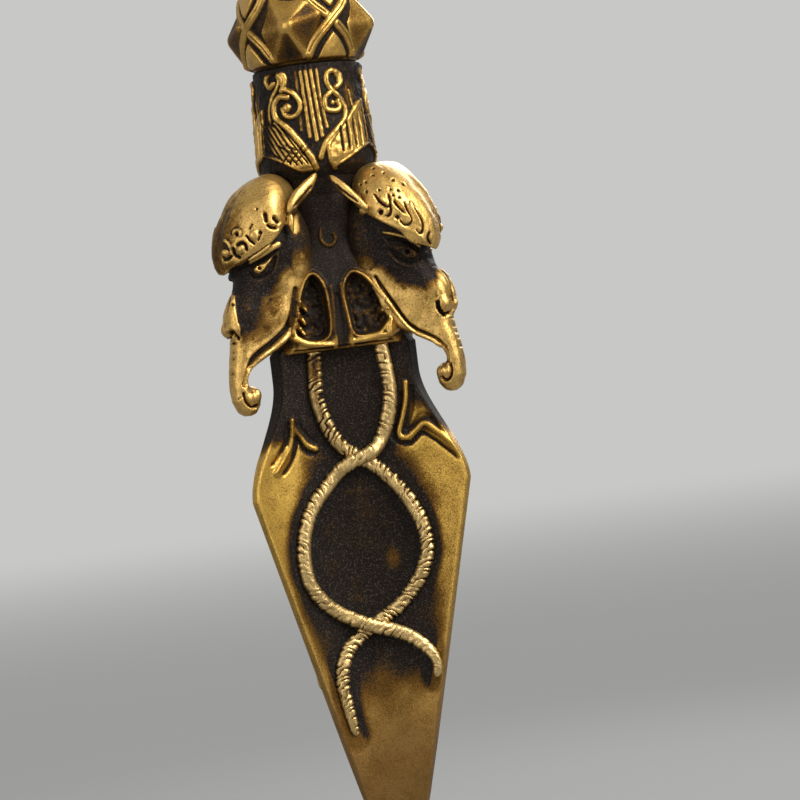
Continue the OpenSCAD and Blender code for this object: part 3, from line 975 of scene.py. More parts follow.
        # two small rubbed spots between the serpents
        clean += 0.24 * (1 - ease((np.hypot(x - 4.2, (z - 59.3) / 2.0) - 0.5) / 1.2))
        clean += 0.2 * (1 - ease((np.hypot((x + 2.6) / 3, z - 53.4) - 0.3) / 0.6))
        # the flanges' edges go dark on the shoulders: patina and painted shade under the collar
        clean = np.where(rim < 0.05, mix(0.7, 0.1, ease((z - 78) / 5)), clean)
        rubbed = np.maximum(clean, 0.35 * ease((84 - z) / 4))
        clean = np.where(self.form.corner(z) - out > 1.0, clean, rubbed)
        clean += 0.07 * speckle(x, z, 3.0, 9) - 3.2 * hollows(blade, 12)
        # patina and painted shade darken the shoulders under the collar
        clean = mix(clean, 0.03, ease((z - 78.5) / 4))
        clean += 0.62 * ease((depth_inside(x, z, self.leaf_gold) + 0.3) / 1.2) * ease((86.5 - z) / 4)
        return clean + np.clip(relief(x, z, self.leaves), 0, 1) * np.where(x > 0, 1.4, 1.0)


@dataclass
class Serpents(SubAssembly):
    """Two serpents down each face, one passing over the other, with scaled backs."""

    form: BladeForm = field(default_factory=BladeForm)
    radius: float = 1.16
    sink: float = 0.42
    columns: int = 30
    rows: int = 520
    turns: dict[str, float] = field(default_factory=lambda: {"front": 0.0, "right": 120.0, "left": 240.0})
    # between two notches of the back, and how high the one on top climbs at a crossing
    pitch: float = 1.12
    climb: float = 1.25

    def build(self) -> None:
        """Makes the six serpents and dresses them."""
        for side, turn in self.turns.items():
            for over in (True, False):
                name = f"serpent_{side}_{'over' if over else 'under'}"
                shape = partial(self.shape, over=over, turn=turn)
                piece = wrapped_grid(name, self.columns, self.rows, shape)
                clean = 0.9 - 3.0 * hollows(piece, 10) - 6.0 * np.clip(hollows(piece, 4), -0.01, 1)
                z = points(piece)[:, 2]
                # both are darkened up by the collar, with patina and painted shade under its rim, and the one
                # underneath is dark sooner
                clean -= 0.35 * ease((z - 88) / 7) + (not over) * 0.62 * ease((z - 74) / 9)
                paint(piece, clean)
                self.dress(piece, Slot.BRIGHT, name)

    def shape(self, u: Array, v: Array, over: bool, turn: float) -> Array:
        """Shapes one serpent along its route over the hollow face.

        Args:
            u: shares of the way round.
            v: shares of the way along.
            over: whether it is the one that passes over the other.
            turn: degrees from the front face to its own.

        Returns:
            The places of the skin.
        """
        size, t = capped(v)
        route = smooth_line(SERPENT_OVER if over else SERPENT_UNDER, 24)
        run = distances(route)
        s = t[:, 0] * run[-1]
        x, z = np.interp(s, run, route[:, 0]), np.interp(s, run, route[:, 1])
        near = np.min([np.hypot(x - cx, z - cz) for cx, cz in CROSSINGS], axis=0)
        lift = 0.1 + (self.climb * (1 - ease((near / 2.4 - 0.8) / 1.5)) if over else 0)
        # the tail tapers and ends round
        r = self.radius * (1 - 0.36 * ease((t[:, 0] - 0.88) / 0.12))
        r = r * np.sqrt(np.clip(1 - ((t[:, 0] - 0.985) / 0.016).clip(0, 1) ** 2, 0.02, 1))
        middle = np.stack([x, -(self.form.face(x, z) + lift + self.sink * r), z], -1)
        ahead = directions(middle)
        out = np.array([[0.0, -1.0, 0.0]]) - ahead * -ahead[:, 1:2]
        out /= np.linalg.norm(out, axis=1, keepdims=True)
        side = np.cross(ahead, out)
        angle = u * math.tau
        thick = r[:, None] * (1 + self.scales(s[:, None], angle, over))
        skin = (
            middle[:, None, :]
            + (thick * np.cos(angle) * size)[..., None] * out[:, None, :]
            + (thick * np.sin(angle) * size * 1.04)[..., None] * side[:, None, :]
        )
        skin[..., 2] = np.minimum(skin[..., 2], self.form.length - 0.05)
        return turned(skin.reshape(-1, 3), turn).reshape(skin.shape)

    def scales(self, s: Array, angle: Array, over: bool) -> Array:
        """Cuts notches across the back: deep where the cast is crisp, faint where it is worn.

        Args:
            s: how far along the serpent, in millimetres.
            angle: the angle round its body, 0 at the middle of its back.
            over: whether it is the one that passes over the other.

        Returns:
            The change of the radius, as a share of it.
        """
        # the serpent on top is worn nearly smooth, and the one under it is still crisp
        slant, crisp, lit, rail_at, seed = (0.72, 0.42, 0.9, 4.9, 21) if over else (-0.62, 1.0, -0.9, 1.4, 22)
        wave = s + 0.34 * np.sin(1.3 * s) + 0.2 * np.sin(3.7 * s + 1)
        phase = wave / self.pitch + slant * np.sin(angle) + 0.15 * np.cos(2 * angle)
        notch = bell(np.abs(phase - np.round(phase)), 0.19)
        flank = 0.35 + 0.65 * ease(0.5 + lit * np.sin(angle))
        length = s * np.ones_like(angle)
        chips = speckle(length, np.sin(angle) * 1.2 + np.cos(angle), 0.75, seed)
        rail = 0.06 * bell(angle - rail_at, 0.4)
        # some stretches are worn flat, and the back's middle everywhere
        worn = speckle(length, np.sign(np.sin(angle)) * 5.0, 2.6, seed + 10)
        from_back = np.minimum(angle, math.tau - angle)
        cut = np.clip(crisp * flank * (1.05 + 0.8 * worn) + 0.5 * chips, 0, 1)
        cut *= 1 - 0.45 * bell(from_back, 0.5)
        flat = -0.17 * bell(from_back, 0.62)
        return -0.4 * notch * cut + rail + flat + 0.07 * chips * ease((s - 0.6) / 1.0)


# Jaws and heads


@dataclass
class JawCollar(SubAssembly):
    """The collar between the heads: on each face two open mouths under a plain stem."""

    foot: float = 95.5
    top: float = 128.2
    columns: int = 390
    rows: int = 200
    plate: tuple[tuple[float, float], ...] = (
        (95.5, 8.7), (96.1, 9.4), (97.4, 9.65), (100, 9.5), (106, 9.2), (110, 8.6), (113, 7.9),
        (117, 7.4), (121.5, 7.4), (124.5, 8.2), (128.2, 9.6),
    )
    # the open mouths, left and right
    mouths: tuple[Line, Line] = (
        ((-7.5, 98.4), (-5.8, 97.4), (-3.6, 97.2), (-2.2, 98.2), (-1.8, 100.5), (-1.9, 104.5), (-2.4, 106.8),
         (-3.3, 108.1), (-4.2, 108.2), (-5.2, 107.1), (-6.2, 104.6), (-7.1, 101.2), (-7.7, 99.4)),
        ((8.0, 99.4), (6.4, 97.7), (4.4, 97.3), (2.6, 97.4), (1.9, 98.4), (1.5, 101.5), (1.3, 105.2),
         (1.9, 107.0), (3.0, 107.9), (4.3, 107.4), (5.5, 106.1), (7.1, 103.4), (8.2, 100.9)),
    )
    mouth_depth: float = 2.2
    # a rim's distance from the mouth's edge, and its height
    rims: Line = ((0.25, 0.28), (0.85, 0.2))
    teeth: tuple[Line, ...] = (
        ((-6.6, 104.3), (-5.4, 102.4)), ((-7.1, 102.4), (-5.8, 100.0)), ((-7.5, 100.6), (-6.2, 98.4)),
    )
    # half a tooth's width, and its height
    tooth_sizes: Line = ((0.5, 2.0), (0.52, 2.1), (0.55, 2.1))
    molars: tuple[Ornament, ...] = (
        Ball((7.3, 101.1), 0.75, 1.9), Ball((6.3, 102.9), 0.6, 1.3), Ball((5.6, 104.5), 0.5, 1.1),
    )
    curl: Line = (
        (-1.3, 116.1), (-1.5, 115.0), (-1.4, 113.8), (-0.6, 113.0), (0.35, 113.0), (1.0, 113.9),
        (0.8, 114.8), (0.2, 114.9),
    )
    corner_reach: float = 12.6
    corner: Line = ((8.6, 100.6), (7.4, 97.9), (7.9, 96.5), (10.2, 97.6))

    def ornaments(self) -> list[Ornament]:
        """Draws all that stands out from a face of the collar, and what is cut in.

        Returns:
            Mouths with their rims and teeth, gums, the ridges between the mouths, the corner of
            the jaw and the curl above.
        """
        closed = [(*mouth, mouth[0]) for mouth in self.mouths]
        rings = [(self.grown(mouth, by), height) for mouth in self.mouths for by, height in self.rims]
        return [
            *[Patch(outline, -self.mouth_depth, 0.6) for outline in closed],
            *[Stroke((*ring, ring[0]), 0.24, height) for ring, height in rings],
            *[Stroke(line, *size, True) for line, size in zip(self.teeth, self.tooth_sizes)],
            *self.molars,
            Stroke(((-8.9, 98.3), (-6.7, 97.0), (-4.5, 96.5), (-1.9, 96.2)), 0.5, 0.5),
            Stroke(((1.9, 96.4), (4.4, 96.5), (6.4, 96.9), (8, 96.9), (9.4, 97.7)), 0.5, 0.5),
            Patch(self.corner, 0.7, 0.6),
            Stroke(((1.45, 95.6), (1.3, 100.3), (0.8, 104.4), (0.75, 106.2)), 0.45, 0.45),
            Stroke(((-1.3, 95.6), (-1.15, 99.9), (-0.9, 104.2), (-1.0, 106.0)), 0.45, 0.45),
            Stroke(((0.05, 95.6), (0.05, 100), (-0.05, 104.5)), 0.4, -0.3),
            Stroke(self.curl, 0.36, 0.42, True),
        ]

    @staticmethod
    def grown(outline: Line, by: float) -> list[tuple[float, float]]:
        """Moves an outline's points away from its middle.

        Args:
            outline: the outline's points.
            by: how far they move.

        Returns:
            The moved points.
        """
        p = np.asarray(outline, float)
        away = p - p.mean(axis=0)
        return [tuple(q) for q in p + away / np.linalg.norm(away, axis=1, keepdims=True) * by]

    def build(self) -> None:
        """Makes the collar and dresses it."""
        collar = wrapped_grid("jaw_collar_body", self.columns, self.rows, self.shape)
        skin = points(collar)
        x, z = self.local(skin)
        aside = np.abs(x)
        clean = 0.04 + 0.16 * ease((aside - 2.5) / 2.5) * ease((114 - z) / 3) - 1.0 * hollows(collar, 14)
        clean = mix(clean, 0.05, ease((z - 111) / 3))
        # the gums and the feet of the middle ridges are rubbed
        rim = ease((97.3 - z) / 0.5) * ease((z - 95.9) / 0.4) * ease((7.9 - aside) / 0.8)
        clean += 0.75 * rim * ease((aside - 1.0) / 0.3)
        clean += 0.6 * ease((98.2 - z) / 1.8) * (np.abs(aside - 1.35) < 0.5)
        for mouth in self.mouths:
            deep = depth_inside(x, z, mouth)
            clean = mix(clean, 0.08 + 0.22 * speckle(x * 1.3, z, 0.6, 41), ease(deep / 0.5))
            outer = ease((aside - 3.0) / 2.0) * ease((107.4 - z) / 5) + 0.3
            clean += 0.45 * bell(deep + 0.25, 0.2) * outer
        clean += 0.75 * ease((depth_inside(x, z, self.corner) + 0.3) / 0.5)
        # painted shade on the collar's lowest edge, under its rim
        clean -= 1.2 * ease((96.3 - z) / 0.3)
        gold = [Stroke(tooth, 0.5, 0.9, True) for tooth in self.teeth]
        gold.append(Ball(self.molars[0].at, 0.8, 0.9))
        clean += relief(x, z, gold) + relief(x, z, [Stroke(self.curl, 0.4, 0.22, True)])
        paint(collar, clean)
        self.dress(collar, Slot.DARK, "jaw_collar")

    @staticmethod
    def local(skin: Array) -> tuple[Array, Array]:
        """Across and up, from the middle of the nearest face."""
        turn = np.radians(from_face(azimuth(skin)))
        return np.hypot(skin[..., 0], skin[..., 1]) * np.sin(turn), skin[..., 2]

    def shape(self, u: Array, v: Array) -> Array:
        """Shapes the collar: flat plates with the mouths below, a round stem above.

        Args:
            u: shares of the way round.
            v: shares of the way along.

        Returns:
            The places of the skin.
        """
        size, t = capped(v)
        z = mix(self.foot, self.top, t)
        out = np.interp(z, *zip(*self.plate))
        angle = u * 360.0
        turn = from_face(angle)
        aside = np.radians(turn)
        plate = np.minimum(out / np.cos(aside), self.corner_reach)
        r = mix(out, plate, 1 - ease((z - 107) / 10))
        x = r * np.sin(aside)
        ahead = r * np.cos(aside)
        fade = 1 - ease((np.abs(turn) - 47) / 9)
        # the mouths' floors are rough
        floor = np.maximum(*(depth_inside(x, z, mouth) for mouth in self.mouths))
        crust = 0.32 * speckle(x + 30, z, 0.75, 17) * ease((floor - 0.5) / 0.4)
        ahead = ahead + fade * (relief(x, z, self.ornaments()) + crust + 0.07 * speckle(x + 30, z, 1.4, 3))
        a = np.radians(angle - turn)
        skin = np.stack([ahead * np.cos(a) - x * np.sin(a), ahead * np.sin(a) + x * np.cos(a), z], -1)
        skin[..., :2] *= size[..., None]
        return skin


@dataclass
class Makara(SubAssembly):
    """A makara's head: a domed brow over sunk eyes, lean cheeks, and a trunk that curls back.

    Points are [outwards, up] in the flange's own plane, except on the drawn sides: there the first
    number is how far out a point shows from the camera's side of the head. One side of the brow has
    flames, and the other side is worn.
    """

    voxel: float = 0.19
    dome_at: tuple[float, float, float] = (13.9, 0.0, 117.6)
    dome_semi: tuple[float, float, float] = (5.9, 7.3, 9.5)
    dome_tilt: float = -36.0
    rim_at: tuple[float, float] = (20.0, 111.3)
    rim_slope: float = 0.66
    worn_view: float = math.radians(35)
    carved_view: float = math.radians(25)
    lip: Line = (
        (19.5, 91.3), (19.8, 92.2), (19.4, 93.3), (18.2, 94.4), (15.4, 95.9), (12.8, 97.3), (11.2, 98.7),
        (10.1, 101.0), (9.2, 104.2), (8.3, 106.0),
    )
    profile: Line = (
        (7.5, 106.5), (7.0, 113.0), (12.0, 116.0), (17.4, 113.5), (18.8, 110.8), (18.8, 108.9),
        (19.6, 107.0), (20.7, 104.9), (21.7, 102.6), (22.3, 100.6), (21.9, 99.4), (21.4, 98.6),
        (21.7, 96.8), (22.4, 93.9), (22.7, 90.9), (22.5, 88.6), (21.6, 86.7), (20.3, 85.9),
        (18.8, 86.3), (17.7, 87.6), (17.4, 89.2), (18.0, 90.6), (18.8, 91.2),
    )
    thickness: tuple[tuple[float, float, float], ...] = (
        (10, 107, 5.2), (12, 103, 4.6), (14, 100, 3.8), (17, 98, 3.0), (16, 104, 3.9), (19, 105, 2.9),
        (20.5, 108, 2.4), (18, 110, 4.0), (13, 110, 5.4), (21.5, 101, 2.3), (20.5, 97, 2.4),
        (21.5, 93, 2.2), (21.5, 89, 2.2), (20, 87, 2.0), (18.7, 89.6, 1.6), (9, 111, 6.0),
    )
    grid: float = 0.25
    # the hollows round the eyes, as they show, dark with patina and with painted shade under the
    # brow's rim
    worn_shade: Line = (
        (6.4, 116.4), (9.0, 114.3), (11.6, 113.0), (14.8, 111.0), (17.8, 110.8), (18.6, 108.4), (16.4, 107.6),
        (14.8, 106.3), (13.0, 106.2), (11.0, 106.6), (9.1, 107.8), (7.5, 109.8), (6.7, 112.2), (6.2, 114.6),
    )
    carved_shade: Line = (
        (8.4, 117.4), (10.5, 114.9), (12.8, 113.8), (15.1, 112.6), (16.6, 110.9), (18.6, 108.6),
        (17.4, 105.4), (14.6, 104.4), (12.0, 105.2), (9.9, 106.9), (8.6, 109.4), (7.6, 112.6), (7.2, 116.0),
    )
    # eye, nose, lip and curl of the worn side
    worn_cheek: tuple[Ornament, ...] = (
        # the groove beside the ear leaf's rib
        Stroke(((1.0, 123.0), (2.9, 121.1), (4.7, 119.5)), 0.3, -0.36, True),
        Stroke(((5.9, 106.2), (6.8, 102.8), (7.9, 100.4), (9.0, 99.2), (11.1, 97.7), (12.9, 96.6),
                (14.3, 95.5), (15.1, 94.0), (15.8, 92.5), (16.2, 91.4)), 0.5, -1.0),
        Stroke(((6.6, 101.2), (7.2, 99.2), (8.8, 98.0), (10.6, 96.8), (13.2, 95.3), (14.7, 93.6),
                (15.6, 91.8)), 0.42, 0.28),
        Stroke(((16.6, 89.9), (16.5, 89.0), (16.2, 88.2), (15.5, 87.6), (14.6, 87.7)), 0.34, -0.7),
        Stroke(((17.7, 89.1), (16.4, 89.7)), 0.15, -0.15),
        Ball((15.3, 89.1), 0.8, 0.25),
        Patch(((16.5, 106.8), (17.6, 104.2), (18.9, 101.5), (19.4, 100.0), (18.6, 99.2), (17.3, 100.5),
               (16.3, 99.2), (15.6, 100.4), (15.9, 103.0), (16.1, 105.4)), 0.4, 0.5),
        Stroke(((16.4, 106.2), (16.5, 104.6), (16.5, 102.6), (16.1, 100.6)), 0.4, 0.25),
        Stroke(((18.1, 99.2), (17.3, 100.4), (16.5, 99.2)), 0.4, -0.9),
        Ball((16.6, 104.8), 0.3, -0.4),
        Stroke(((12.6, 111.6), (10.9, 112.5), (9.6, 113.2), (7.9, 113.9)), 0.6, 0.45),
        Stroke(((13.0, 111.0), (11.0, 111.7), (9.7, 112.2), (8.4, 112.9)), 0.27, -0.6),
        Patch(((12.7, 110.5), (11.4, 111.2), (10.2, 111.6), (9.0, 112.1), (9.7, 110.8), (10.5, 109.8),
               (11.6, 109.3), (12.5, 109.7)), 0.6, 0.6),
        Ball((11.5, 110.35), 0.38, -0.75),
        Stroke(((13.2, 109.8), (12.4, 108.9), (11.3, 108.7), (10.1, 109.3), (9.2, 110.4),
                (8.6, 111.8)), 0.3, -0.5),
        Stroke(((7.6, 113.8), (8.1, 112.4), (8.6, 110.9), (9.2, 109.8)), 0.3, 0.22, True),
    )
    # eye, nose, lip and curl of the carved side
    carved_cheek: tuple[Ornament, ...] = (
        Stroke(((2.3, 123.1), (4.2, 121.1), (6.7, 118.9)), 0.26, -0.34, True),
        Stroke(((7.4, 106.6), (8.6, 104.2), (10.0, 101.7), (10.8, 100.1), (11.8, 98.5), (13.3, 97.0),
                (14.8, 96.1), (16.4, 94.9), (17.4, 93.6), (17.7, 92.4), (17.6, 91.3)), 0.34, -0.8),
        Stroke(((8.9, 102.6), (10.0, 100.8), (11.9, 97.8), (13.2, 96.5), (14.8, 95.5), (16.3, 94.3),
                (17.2, 93.1), (17.3, 92.0)), 0.32, 0.3),
        Stroke(((18.0, 90.6), (18.1, 89.4), (17.7, 88.4), (17.0, 88.1), (16.4, 88.5)), 0.32, -0.7),
        Ball((17.0, 89.6), 0.75, 0.3),
        Stroke(((17.2, 101.2), (17.2, 100.2), (17.6, 99.5), (18.2, 98.9), (19.0, 99.1),
                (19.7, 99.3)), 0.36, -0.95),
        Ball((19.2, 98.6), 0.35, 0.3),
        Stroke(((9.8, 113.8), (11.8, 113.2), (13.6, 112.4), (15.3, 110.9)), 0.32, 0.4),
        Stroke(((10.4, 112.5), (12.2, 112.2), (13.8, 111.5), (15.3, 109.9)), 0.28, -0.55),
        Patch(((10.6, 111.4), (12.3, 111.7), (13.9, 111.1), (15.1, 109.6), (14.3, 108.7), (12.6, 109.0),
               (11.4, 110.0)), 0.55, 0.6),
        Ball((13.4, 110.1), 0.95, 0.2),
        Ball((13.4, 110.1), 0.45, -0.8),
        Stroke(((10.5, 110.6), (11.5, 109.3), (12.7, 108.4), (14.2, 108.1), (15.3, 108.6)), 0.26, -0.4),
        Stroke(((10.2, 110.4), (11.3, 108.7), (12.8, 107.8), (14.3, 107.5)), 0.28, 0.18, True),
    )
    # the worn side of the brow: a few pits, and scrolls and beads by the rim
    worn_brow: tuple[Ornament, ...] = (
        Stroke(((9.4, 119.1), (9.3, 118.0)), 0.42, -0.7),
        Stroke(((7.9, 118.3), (7.4, 117.6)), 0.42, -0.7),
        Stroke(((9.1, 117.2), (8.6, 116.8), (7.8, 116.6)), 0.34, -0.7),
        Ball((10.7, 120.2), 0.25, -0.4),
        Ball((10.5, 116.1), 0.38, -0.5),
        Stroke(((10.6, 115.7), (11.0, 114.9)), 0.2, -0.3),
        Ball((11.6, 115.8), 0.85, 0.35),
        Stroke(((12.9, 115.8), (12.4, 115.0), (11.8, 114.4)), 0.26, -0.5),
        Ball((14.5, 116.4), 0.35, -0.55),
        Stroke(((15.2, 116.6), (14.6, 117.1), (13.9, 116.8), (14.0, 115.9)), 0.3, 0.25, True),
        Stroke(((14.6, 114.6), (13.9, 114.9), (13.3, 114.4), (13.2, 113.6)), 0.32, -0.6),
        Ball((14.2, 113.8), 0.7, 0.4),
        Stroke(((15.5, 114.1), (15.3, 113.1), (14.6, 112.5)), 0.32, -0.6),
        Ball((16.8, 113.6), 0.62, 0.4),
        Stroke(((17.6, 113.9), (17.3, 112.8), (16.6, 112.4), (15.9, 112.9)), 0.26, -0.5),
        Stroke(((16.6, 115.6), (16.1, 115.0), (15.8, 114.2)), 0.3, 0.22),
        Stroke(((12.2, 117.0), (11.7, 117.7)), 0.2, -0.2),
    )
    # flames and dots over the rim of the brow's carved side
    flames: tuple[Ornament, ...] = (
        Ball((9.6, 117.1), 0.5, -0.8),
        Stroke(((8.9, 120.4), (9.5, 119.2), (10.1, 118.5), (10.8, 117.9), (11.2, 118.1)), 0.3, -0.6, True),
        Stroke(((11.2, 120.2), (11.4, 119.2), (11.3, 117.9), (11.3, 117.0), (10.9, 116.4),
                (10.2, 116.4)), 0.28, -0.6, True),
        Stroke(((9.9, 119.6), (10.7, 118.6)), 0.4, 0.2, True),
        Stroke(((12.1, 118.8), (12.6, 118.0), (13.1, 117.3), (13.7, 116.6)), 0.42, -0.7, True),
        Stroke(((13.9, 118.4), (14.1, 117.2), (14.4, 116.4), (14.7, 115.5), (14.6, 114.9), (14.1, 114.5),
                (13.4, 114.5), (12.9, 114.9), (12.6, 115.5)), 0.3, -0.65, True),
        Ball((12.3, 115.9), 0.5, -0.7),
        Stroke(((11.6, 119.0), (12.1, 117.7), (12.7, 116.6), (13.3, 115.8)), 0.42, 0.25, True),
        Ball((13.6, 115.4), 0.85, 0.45),
        Stroke(((15.3, 117.0), (15.9, 116.0), (16.3, 115.2), (16.5, 114.4), (16.4, 113.5), (16.1, 112.9),
                (15.5, 112.9), (15.2, 113.6)), 0.26, -0.6, True),
        Stroke(((14.8, 118.3), (15.1, 116.7), (15.5, 115.4), (15.9, 114.1)), 0.5, 0.32, True),
        Stroke(((17.5, 113.0), (17.1, 112.1), (17.1, 111.5), (17.4, 110.7)), 0.26, -0.5, True),
        Stroke(((8.9, 116.4), (10.5, 115.3), (12.8, 114.0), (15.1, 112.9), (16.4, 111.5)), 0.35, 0.22),
        *(Ball(at, 0.28, -0.32) for at in (
            (9.1, 123.6), (7.8, 122.6), (9.9, 120.9), (6.9, 122.3), (12.4, 122.3), (9.4, 124.8), (7.7, 120.9),
            (13.1, 119.2), (12.1, 119.7), (11.0, 123.8), (14.1, 121.4), (11.8, 120.8), (13.1, 120.4),
        )),
    )
    # what shines round the eyes and on the ear leaves, whose heights say how much
    worn_lid: tuple[Ornament, ...] = (
        Stroke(((12.6, 111.6), (10.9, 112.5), (9.6, 113.2), (8.0, 113.9)), 0.62, 1.15),
    )
    worn_ball: tuple[Ornament, ...] = (
        Patch(((12.7, 110.5), (10.2, 111.6), (9.0, 112.1), (9.7, 110.8), (11.6, 109.3),
               (12.5, 109.7)), 1.4, 0.4),
    )
    carved_eye: tuple[Ornament, ...] = (
        Stroke(((9.8, 113.8), (11.8, 113.2), (13.6, 112.4), (15.3, 110.9)), 0.4, 0.7),
        Ball((13.4, 110.1), 1.0, 0.55),
    )
    worn_ear: tuple[Ornament, ...] = (
        Stroke(((0.0, 124.6), (2.2, 122.4), (4.4, 120.2), (5.3, 118.9)), 1.5, 0.68),
        Stroke(((4.7, 118.4), (4.7, 116.0)), 0.7, 0.7),
    )
    carved_ear: tuple[Ornament, ...] = (
        Stroke(((1.7, 124.4), (3.7, 122.1), (5.5, 120.4), (8.0, 117.9)), 0.9, 0.66),
        Ball((6.8, 117.9), 0.8, 0.8),
    )

    def build(self) -> None:
        """Models one head and places a copy on each flange."""
        model, clean = self.model()
        r, w, z = points(model).T
        # painted shade: the left head's far flank is darkened, as it turns away from the light
        shaded_flank = ease((r - 10.0) / 8.0) * ease((4.0 - w) / 8.0) * ease((z - 108.0) / 2.0)
        for name, turn in FLANGES.items():
            pick(model)
            bpy.ops.object.duplicate(linked=False)
            head = bpy.context.object
            head.name = head.data.name = f"makara_{name}_head"
            place_points(head, turned(points(head), turn))
            paint(head, clean - 0.55 * shaded_flank * (name == "left"))
            self.dress(head, Slot.GILT, f"makara_{name}")
        bpy.data.objects.remove(model, do_unlink=True)

    def model(self) -> tuple[Object, Array]:
        """Models the head on a flange that runs along +X.

        Returns:
            The head, and how clean each of its vertices is.
        """
        parts = [
            self.dome(),
            ellipsoid((20.2, 0, 104.0), (1.4, 1.75, 3.3), -20),
            ellipsoid((12.3, 0, 114.2), (6.9, 5.9, 8.0)),
            ellipsoid((9.5, 0, 113.0), (4.8, 6.3, 9.0)),
            self.cheeks(),
            # the worn side's ear leaf and drop, then the carved side's ear leaf and bead
            ellipsoid((8.6, 7.9, 121.6), (1.0, 0.85, 4.2), -44),
            ellipsoid((10.6, 7.0, 117.1), (0.55, 0.7, 1.6), -6),
            ellipsoid((8.8, -7.6, 121.2), (0.85, 0.75, 4.6), -43),
            ellipsoid((10.8, -7.0, 117.9), (0.75, 0.75, 0.75)),
        ]
        for s in (-1, 1):
            # the nose's wings swell downwards
            parts += [
                ellipsoid((20.3, s * (0.9 - 0.15 * s), 102.8), (1.4, 1.5, 2.6), -12),
                ellipsoid((20.6 - 0.2 * s, s * (1.4 - 0.2 * s), 100.9), (1.3, 1.3, 1.5)),
                ellipsoid((18.9, s * 1.15, 89.4), (0.95, 1.2, 1.3)),
            ]
        head = fused("makara_model", parts, self.voxel, 4)
        place_points(head, self.bent(points(head)))
        r, w, z = points(head).T
        q, facing = self.seen(r, w, normals(head))
        brow = self.on_brow(r, w, z)
        carved = w < 0
        cheek, dome = (
            np.where(carved, relief(q, z, cut), relief(q, z, worn))
            for cut, worn in ((self.carved_cheek, self.worn_cheek), (self.flames, self.worn_brow))
        )
        lift = ease(facing / 0.25) * mix(cheek, dome, brow)
        # the skin of the cast: shallow waves, and a finer grain
        lift += 0.045 * speckle(r * 1.3 + w, z + w * 0.7, 1.3, 31) + 0.02 * speckle(r + 2 * w, z - w, 0.5, 32)
        place_points(head, self.kept_in(points(head) + normals(head) * lift[:, None]))
        return head, self.clean(head, q, z, carved, brow, facing)

    @staticmethod
    def kept_in(skin: Array, start: float = 13.7, most: float = 0.7) -> Array:
        """Presses the flanks in softly where they would pass the part's own depth.

        Args:
            skin: the places.
            start: how far out the pressing starts, in millimetres.
            most: how far past that any place may still reach.

        Returns:
            The places, pressed in.
        """
        r, w, z = skin.T
        across = math.cos(math.pi / 6)
        over = np.clip(0.5 * r + across * np.abs(w) - start, 0, None)
        return np.stack([r, w - np.sign(w) * (over - most * np.tanh(over / most)) / across, z], 1)

    @staticmethod
    def bent(skin: Array) -> Array:
        """Bends the brow out of true, as hand work is: its carved side leans out and hooks down.

        Args:
            skin: the places.

        Returns:
            The places, bent.
        """
        r, w, z = skin.T
        worn, carved = ease(w / 3), ease(-w / 3)
        front = ease((r - 14) / 4) * ease((z - 108.5) / 3)
        back = ease((15.5 - r) / 4) * ease((z - 113) / 4) * ease((r - 7) / 3)
        r = r + 0.7 * front * (carved - worn) + 0.9 * back * worn
        z = z + 0.55 * worn * ease((z - 116) / 5) - 1.2 * ease((1.5 - w) / 3) * front * ease((r - 15.5) / 3)
        return np.stack([r, w, z], 1)

    def seen(self, r: Array, w: Array, out: Array) -> tuple[Array, Array]:
        """Looks at the head from the side that its ornament was drawn on.

        Args:
            r: the points' places outwards.
            w: their places sideways, positive on the worn side.
            out: the skin's directions there.

        Returns:
            How far out the points show, and how much their skin faces the viewer.
        """
        a = np.where(w < 0, self.carved_view, self.worn_view)
        side = np.where(w < 0, -1.0, 1.0)
        shown = r * np.cos(a) - np.abs(w) * np.sin(a)
        return shown, out[:, 0] * np.sin(a) + out[:, 1] * side * np.cos(a)

    def on_brow(self, r: Array, w: Array, z: Array) -> Array:
        """Tells the brow's skin above its rim from the rest of the head.

        Args:
            r: the points' places outwards.
            w: their places sideways.
            z: their places up.

        Returns:
            1 on the brow and 0 elsewhere.
        """
        rise = z - self.rim_at[1] - self.rim_slope * (self.rim_at[0] - r)
        rise += 0.9 * (w < 1.5) * ease((r - 16) / 3)
        a = math.radians(-self.dome_tilt)
        dr, dz = r - self.dome_at[0], z - self.dome_at[2]
        along = dr * math.sin(a) - dz * math.cos(a)
        over = dr * math.cos(a) + dz * math.sin(a)
        semi = self.dome_semi
        shell = np.sqrt((along / semi[2]) ** 2 + (over / semi[0]) ** 2 + (w / semi[1]) ** 2)
        return ease((rise - 0.1) / 0.3) * ease((0.24 - np.abs(shell - 1)) / 0.05)

    def dome(self) -> Object:
        """Makes the brow: an ellipsoid cut off along its rim.

        Returns:
            The brow, closed over its cut.
        """
        dome = ellipsoid(self.dome_at, self.dome_semi, self.dome_tilt)
        open_all()
        bpy.ops.mesh.bisect(
            plane_co=(self.rim_at[0], 0, self.rim_at[1]),
            plane_no=(self.rim_slope, 0, 1),
            use_fill=True,
            clear_inner=True,
        )
        bpy.ops.object.mode_set(mode="OBJECT")
        return dome

